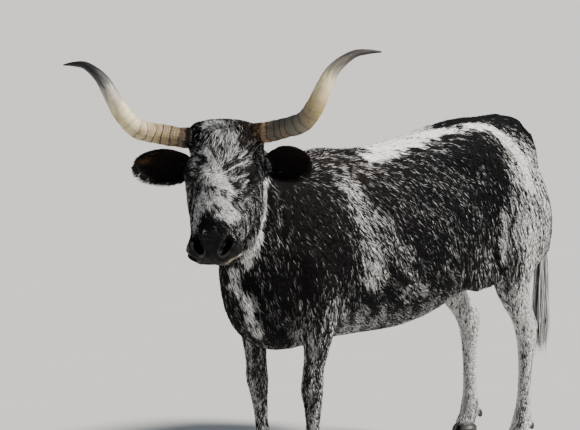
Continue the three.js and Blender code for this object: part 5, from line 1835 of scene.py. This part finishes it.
def skin_finish():
    """Hide under the coat, with the same markings as streaks, and the bare muzzle, lips and lids."""
    colours = bpy.context.scene.longhorn_colours
    finish = Finish("hide")
    white = finish.attribute("white")
    brown = finish.attribute("brown")
    bare = finish.attribute("bare")
    streak = finish.noise(260, 3, (1, 1, 0.3))
    mask = finish.clamp(white + (streak - 0.5) * 0.6, 0.25, 0.85) * 0.8
    dark = finish.mix(brown, colours.dark_hair, colours.brown_hair)
    hair = finish.mix(mask, dark, colours.grey_hair)
    cells = finish.node("ShaderNodeTexVoronoi", {}, {"Vector": finish.places(), "Scale": 330})
    fine = finish.noise(700, 2)
    patchy = finish.noise(38, 3)
    leather = finish.mix(finish.clamp(patchy, 0.55, 0.75), colours.muzzle, colours.muzzle_pale)
    mottled = finish.mix(finish.clamp(patchy, 0.4, 0.6), colours.lip, LIP_DARK)
    leather = finish.mix(finish.attribute("lip"), leather, mottled)
    rim = finish.attribute("rim")
    # Painted highlight: a pale band round the nostrils' edges, and the same pale on the creases over the
    # muzzle
    leather = finish.mix(rim * finish.clamp(patchy, 0.35, 0.7) * 0.6, leather, RIM_HIGHLIGHT_AND_CREASE)
    # Painted shade inside the nostrils
    leather = finish.mix(finish.attribute("cavity"), leather, NOSTRIL_PAINTED_SHADE)
    colour = finish.mix(bare, hair, leather)
    rough = 0.7 - bare * 0.34 + (fine - 0.5) * 0.2
    wet = bare * (1 - finish.attribute("cavity")) * (finish.clamp(patchy, 0.35, 0.7) * 0.14 + rim * 0.5)
    height = cells * bare * 0.6 + fine * 0.25 + streak * (1 - bare) * 1.2
    normal = finish.bump(height, 0.001, 0.6)
    return finish.surface(base_color=colour, roughness=rough, normal=normal, specular_ior_level=0.05,
                          coat_weight=wet, coat_roughness=0.16)


# The colours of each horn along its length, of the painted highlight on its outer edge, and of its streaks,
# stains and rings
HORN_STOPS = {
    1: [(0.0, (0.3, 0.17, 0.08)), (0.1, (0.32, 0.19, 0.095)), (0.15, (0.1, 0.08, 0.062)),
        (0.3, (0.13, 0.12, 0.105)), (0.42, (0.3, 0.23, 0.13)), (0.5, (0.62, 0.49, 0.27)),
        (0.58, (0.84, 0.72, 0.45)), (0.65, (0.22, 0.2, 0.165)), (0.74, (0.06, 0.055, 0.05)),
        (0.88, (0.032, 0.028, 0.024)), (0.97, (0.005, 0.005, 0.005))],
    -1: [(0.0, (0.02, 0.016, 0.013)), (0.08, (0.035, 0.026, 0.018)), (0.13, (0.13, 0.09, 0.055)),
         (0.23, (0.36, 0.27, 0.15)), (0.34, (0.66, 0.55, 0.34)), (0.48, (0.84, 0.73, 0.46)),
         (0.55, (0.5, 0.46, 0.37)), (0.63, (0.11, 0.108, 0.105)), (0.72, (0.022, 0.022, 0.024)),
         (1.0, (0.004, 0.004, 0.004))],
}
HORN_EDGE_HIGHLIGHT = (0.42, 0.34, 0.1)
HORN_STREAK = (0.12, 0.09, 0.06)
HORN_STAIN = (0.17, 0.11, 0.055)
HORN_RING = (0.03, 0.022, 0.016)


def horn_finish(hand):
    """Ringed root, pale middle with fine grain, grey to black tip."""
    finish = Finish("horn_" + side_of(hand))
    share = finish.attribute("share")
    patchy = finish.noise(16, 3)
    turn = {0: finish.attribute("grain_x"), 1: finish.attribute("grain_y"), 2: share * 2.2}
    around = finish.node("ShaderNodeCombineXYZ", {}, turn)
    grain = finish.noise(7, 5, places=around)
    fine = finish.noise(34, 3, places=around)
    place = share + (patchy - 0.5) * 0.06 + (grain - 0.5) * 0.2
    colour = finish.ramp(place, HORN_STOPS[hand])
    pale = 1 - finish.clamp(place, 0.5, 0.62)
    # Painted highlight: a yellow band on the outer edge near the bend
    edge = finish.attribute("edge") * finish.clamp(patchy, 0.3, 0.5)
    colour = finish.mix(edge * 0.85, colour, HORN_EDGE_HIGHLIGHT)
    streak = finish.clamp(grain * 0.5 + fine * 0.5, 0.48, 0.66) * (pale * 0.4 + 0.1)
    colour = finish.mix(streak, colour, HORN_STREAK)
    colour = finish.mix(finish.clamp(patchy, 0.52, 0.7) * pale * 0.5, colour, HORN_STAIN)
    rings = (share * 150 + patchy * 10 + grain * 2.2).sine()
    small = (share * 470 + patchy * 15 + grain * 4).sine()
    ringed = finish.clamp(1 - share, 0.5, 0.8)
    lines = finish.clamp(rings, 0.55, 1.0) * ringed * 0.85 + finish.clamp(small, 0.45, 1.0) * ringed * 0.35
    colour = finish.mix(finish.clamp(lines, 0.0, 1.0), colour, HORN_RING)
    height = rings * ringed * -0.9 + fine * 0.5 + grain * 0.5 - small * ringed * 0.35
    normal = finish.bump(height, 0.0012, 0.8)
    rough = 0.5 - share * 0.2 + (fine - 0.5) * 0.25
    return finish.surface(base_color=colour, roughness=rough, normal=normal, specular_ior_level=0.22)


HOOF_PALE = (0.036, 0.032, 0.028)
HOOF_DUST = (0.1, 0.088, 0.072)


def hoof_finish():
    """Dark layered horn, dusty towards the ground."""
    colours = bpy.context.scene.longhorn_colours
    finish = Finish("hoof")
    height_along = finish.node("ShaderNodeSeparateXYZ", {}, {0: finish.places()}, output=2)
    patchy = finish.noise(30, 3)
    rings = (height_along * 620 + patchy * 16).sine()
    grain = finish.noise(300, 3, (1, 1, 0.12))
    base = finish.mix(finish.clamp(grain + patchy, 0.8, 1.3), colours.hoof, HOOF_PALE)
    dust_and_highlight = finish.mix(finish.clamp(1 - height_along * 30, 0.2, 1.0) * 0.3, base, HOOF_DUST)
    normal = finish.bump(rings * 0.22 + grain, 0.0008, 0.7)
    return finish.surface(base_color=dust_and_highlight, roughness=0.5 + (grain - 0.5) * 0.3, normal=normal)


IRIS = ((0.006, 0.0028, 0.0016), (0.02, 0.009, 0.004))
PUPIL = (0.002, 0.002, 0.003)
EYE_WHITE = (0.012, 0.008, 0.006)
LID_EDGE = ((0.004, 0.0035, 0.0035), (0.014, 0.011, 0.01))


def eye_finish():
    """A dark brown iris with a long level pupil, under a wet clear front."""
    finish = Finish("eye")
    across = finish.attribute("across")
    high = finish.attribute("high")
    from_middle = (across * across + high * high).root()
    from_pupil = (across * across + high * high * 3.2).root()
    iris = finish.mix(finish.clamp(finish.noise(900, 2), 0.35, 0.7), *IRIS)
    ball = finish.mix(finish.clamp(from_middle, 0.0125, 0.0145), iris, EYE_WHITE)
    colour = finish.mix(finish.clamp(from_pupil, 0.0088, 0.0098), PUPIL, ball)
    return finish.surface(base_color=colour, roughness=0.3, specular_ior_level=0.1, coat_weight=0.55,
                          coat_roughness=0.05)


def lid_finish():
    """The wet black edge of the lids."""
    finish = Finish("lid")
    fine = finish.noise(900, 2)
    return finish.surface(base_color=finish.mix(fine, *LID_EDGE), roughness=0.28,
                          normal=finish.bump(fine, 0.0004, 0.5), specular_ior_level=0.15)


FLOOR_PALE = ((0.6, 0.593, 0.58), (0.64, 0.632, 0.618))


def floor_finish():
    """A plain pale floor."""
    finish = Finish("floor")
    return finish.surface(base_color=finish.mix(finish.noise(2.5, 3), *FLOOR_PALE), roughness=0.85)


# Operators, one for each group of pieces

LEGS = [(pair, side) for pair in ("fore", "hind") for side in ("left", "right")]
HANDS = {"left": 1, "right": -1}


def settle(obj, material):
    """Gives a piece its material and the body that it rides on."""
    obj.data.materials.clear()
    obj.data.materials.append(material)
    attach(obj, "root")


def length_property(name, description, default):
    """A length that a user may change."""
    return FloatProperty(name=name, description=description, default=default, unit="LENGTH")


def colour_property(name, description, default):
    """A colour that a user may change."""
    return FloatVectorProperty(name=name, description=description, default=default, subtype="COLOR", size=3,
                               min=0, max=1)


class LonghornCoat(bpy.types.PropertyGroup):
    """Sizes of the short coat."""

    seed: IntProperty(name="Seed", description="Start of every random draw", default=5)
    body_spacing: length_property("Body spacing", "Distance between tufts", 0.0042)
    face_spacing: length_property("Face spacing", "Distance between tufts", 0.00245)
    leg_spacing: length_property("Leg spacing", "Distance between tufts", 0.0033)
    body_length: length_property("Body length", "Length of a tuft", 0.025)
    face_length: length_property("Face length", "Length of a tuft", 0.0125)
    leg_length: length_property("Leg length", "Length of a tuft", 0.0145)
    body_width: length_property("Body width", "Width of a tuft", 0.0032)
    face_width: length_property("Face width", "Width of a tuft", 0.0018)
    leg_width: length_property("Leg width", "Width of a tuft", 0.0023)
    body_lift: length_property("Body lift", "Height of a tip over the skin", 0.003)
    face_lift: length_property("Face lift", "Height of a tip over the skin", 0.0014)
    leg_lift: length_property("Leg lift", "Height of a tip over the skin", 0.002)
    body_depth: length_property("Body depth", "How far the skin lies inside the solids", 0.004)
    face_depth: length_property("Face depth", "How far the skin lies inside the solids", 0.0015)


class LonghornColours(bpy.types.PropertyGroup):
    """Colours of the hair, the bare skin and the hooves."""

    dark_hair: colour_property("Dark hair", "The coat's black hairs", (0.0055, 0.0055, 0.0065))
    brown_hair: colour_property("Brown hair", "Dark hairs bleached by the sun", (0.2, 0.11, 0.06))
    white_hair: colour_property("White hair", "The coat's palest hairs", (0.9, 0.89, 0.87))
    grey_hair: colour_property("Grey hair", "The coat's duller pale hairs", (0.17, 0.17, 0.18))
    muzzle: colour_property("Muzzle", "Bare moist skin", (0.006, 0.0055, 0.006))
    muzzle_pale: colour_property("Muzzle, pale", "Paler flecks in the bare skin", (0.018, 0.016, 0.0155))
    lip: colour_property("Lower lip", "The pale edge of the lower lip", (0.42, 0.38, 0.29))
    hoof: colour_property("Hoof", "Dark hoof horn", (0.016, 0.014, 0.013))


class LONGHORN_OT_skin(bpy.types.Operator):
    """One closed skin over the body, from the joined solids of flesh"""

    bl_idname = "longhorn.skin"
    bl_label = "Skin"

    def execute(self, context):
        skin = make_skin()
        points = points_of(skin)
        white, brown = markings(points)
        fields = {"white": white, "brown": brown, "bare": bareness(points), "lip": lower_lip(points),
                  "cavity": cavity(points), "rim": rims(points)}
        for name, values in fields.items():
            set_values(skin, name, values)
        shade_smooth(skin)
        settle(skin, skin_finish())
        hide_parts(*FLESH, "ear_left", "ear_right")
        return {"FINISHED"}


class LONGHORN_OT_coat(bpy.types.Operator):
    """Short tufts over the whole skin, along the lie of the coat"""

    bl_idname = "longhorn.coat"
    bl_label = "Coat"

    def execute(self, context):
        finish = coat_finish()
        for piece in grow_coat(bpy.data.objects["skin"]):
            settle(piece, finish)
        return {"FINISHED"}


class LONGHORN_OT_long_hair(bpy.types.Operator):
    """The tail's switch, the hair of the poll and the fringes of the ears"""

    bl_idname = "longhorn.long_hair"
    bl_label = "Long hair"

    def execute(self, context):
        draw = np.random.default_rng(context.scene.longhorn_coat.seed + 1)
        finish = bpy.data.materials["coat"]
        settle(make_switch_core(), finish)
        switch = make_switch(draw)
        settle(switch, finish)
        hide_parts("tail_switch")
        tree = tree_over(bpy.data.objects["skin"])
        settle(make_poll_hair(tree, draw), finish)
        settle(make_crest_hair(tree, draw), finish)
        for hand in HANDS.values():
            settle(make_horn_collar(hand, draw), finish)
            settle(make_ear_hair(hand, draw), finish)
        return {"FINISHED"}


class LONGHORN_OT_horns(bpy.types.Operator):
    """Both horns, ringed at the root and dark at the tip"""

    bl_idname = "longhorn.horns"
    bl_label = "Horns"

    def execute(self, context):
        for side, hand in HANDS.items():
            horn = make_horn(hand)
            shade_smooth(horn)
            settle(horn, horn_finish(hand))
            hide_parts("horn_" + side)
        return {"FINISHED"}


class LONGHORN_OT_hooves(bpy.types.Operator):
    """Eight claws of four cloven hooves, and the dewclaws behind them"""

    bl_idname = "longhorn.hooves"
    bl_label = "Hooves"

    def execute(self, context):
        finish = hoof_finish()
        tree = tree_over(bpy.data.objects["skin"])
        for pair, side in LEGS:
            for half in ("inner", "outer"):
                node = "hoof_%s_%s_%s" % (pair, side, half)
                claw = make_claw(node)
                pick(claw)
                bpy.ops.object.shade_smooth_by_angle(angle=math.radians(50))
                settle(claw, finish)
                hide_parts(node)
            dewclaws = make_dewclaws(pair, side, tree)
            shade_smooth(dewclaws)
            settle(dewclaws, finish)
        return {"FINISHED"}


class LONGHORN_OT_eyes(bpy.types.Operator):
    """Eyeballs, the edges of the lids and the lashes"""

    bl_idname = "longhorn.eyes"
    bl_label = "Eyes"

    def execute(self, context):
        draw = np.random.default_rng(context.scene.longhorn_coat.seed + 2)
        ball, lid = eye_finish(), lid_finish()
        for side, hand in HANDS.items():
            eye = make_eye(hand)
            settle(eye, ball)
            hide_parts("eye_" + side)
            settle(make_lid_rim(hand), lid)
            settle(make_lashes(hand, draw), lid)
        return {"FINISHED"}


# Stage

CAMERA_AZIMUTH = math.radians(-47)
CAMERA_RISE = math.radians(6.5)
CAMERA_AWAY = 12.0
LOOK_ASIDE = -0.35
LOOK_HEIGHT = 0.963
LENS = 199.6
FLOOR_SIZE = 400.0
SKY_COLOUR = (0.78, 0.88, 1.0, 1)
SKY_STRENGTH = 0.3
SUN_COLOUR = (1.0, 0.96, 0.9)
SUN_STRENGTH = 7.2
SUN_ANGLE = math.radians(8)
# The way to the sun: to the camera's right, towards the camera, and up
SUN_WAY = (1.0, 0.42, 0.95)


def add_sun(way):
    """A soft sun that shines from the given way."""
    lamp = bpy.data.lights.new("key", "SUN")
    lamp.energy = SUN_STRENGTH
    lamp.color = SUN_COLOUR
    lamp.angle = SUN_ANGLE
    made = bpy.data.objects.new("key", lamp)
    bpy.context.scene.collection.objects.link(made)
    made.location = START + way
    made.rotation_euler = way.to_track_quat("Z", "Y").to_euler()


class LONGHORN_OT_stage(bpy.types.Operator):
    """Floor, lights and the camera at the photograph's angle"""

    bl_idname = "longhorn.stage"
    bl_label = "Stage"

    def execute(self, context):
        deselect_all()
        bpy.ops.mesh.primitive_plane_add(size=FLOOR_SIZE)
        floor = context.active_object
        floor.name = "floor"
        floor.data.materials.append(floor_finish())
        world = bpy.data.worlds.new("studio")
        world.use_nodes = True
        sky = world.node_tree.nodes["Background"]
        sky.inputs["Color"].default_value = SKY_COLOUR
        sky.inputs["Strength"].default_value = SKY_STRENGTH
        context.scene.world = world
        back = Vector((math.sin(CAMERA_AZIMUTH) * math.cos(CAMERA_RISE),
                       -math.cos(CAMERA_AZIMUTH) * math.cos(CAMERA_RISE), math.sin(CAMERA_RISE)))
        right = Vector((math.cos(CAMERA_AZIMUTH), math.sin(CAMERA_AZIMUTH), 0))
        above = back.cross(right)
        look = START + right * LOOK_ASIDE + above * LOOK_HEIGHT
        aside, towards, up = SUN_WAY
        add_sun((right * aside + back * towards + UP * up) * 5)
        camera = bpy.data.objects.new("camera", bpy.data.cameras.new("camera"))
        context.scene.collection.objects.link(camera)
        camera.location = look + back * CAMERA_AWAY
        camera.rotation_euler = back.to_track_quat("Z", "Y").to_euler()
        camera.data.lens = LENS
        camera.data.clip_end = 500
        context.scene.camera = camera
        return {"FINISHED"}


class LONGHORN_PT_panel(bpy.types.Panel):
    """Sizes, colours and the steps that build the cow"""

    bl_idname = "LONGHORN_PT_panel"
    bl_label = "Longhorn"
    bl_space_type = "VIEW_3D"
    bl_region_type = "UI"
    bl_category = "Longhorn"

    def draw(self, context):
        for group in (context.scene.longhorn_coat, context.scene.longhorn_colours):
            box = self.layout.box()
            for key in group.__annotations__:
                box.prop(group, key)
        for step in STEPS:
            self.layout.operator(step.bl_idname)


STEPS = (LONGHORN_OT_skin, LONGHORN_OT_eyes, LONGHORN_OT_horns, LONGHORN_OT_hooves, LONGHORN_OT_coat,
         LONGHORN_OT_long_hair, LONGHORN_OT_stage)
CLASSES = (LonghornCoat, LonghornColours, *STEPS, LONGHORN_PT_panel)


def register():
    """Adds the classes and the two groups of settings."""
    for made in CLASSES:
        bpy.utils.register_class(made)
    bpy.types.Scene.longhorn_coat = PointerProperty(type=LonghornCoat)
    bpy.types.Scene.longhorn_colours = PointerProperty(type=LonghornColours)


def unregister():
    """Takes them away again."""
    del bpy.types.Scene.longhorn_colours
    del bpy.types.Scene.longhorn_coat
    for made in reversed(CLASSES):
        bpy.utils.unregister_class(made)


def main():
    """Builds everything in order."""
    register()
    for step in STEPS:
        group, name = step.bl_idname.split(".")
        getattr(getattr(bpy.ops, group), name)()


if __name__ == "__main__":
    main()
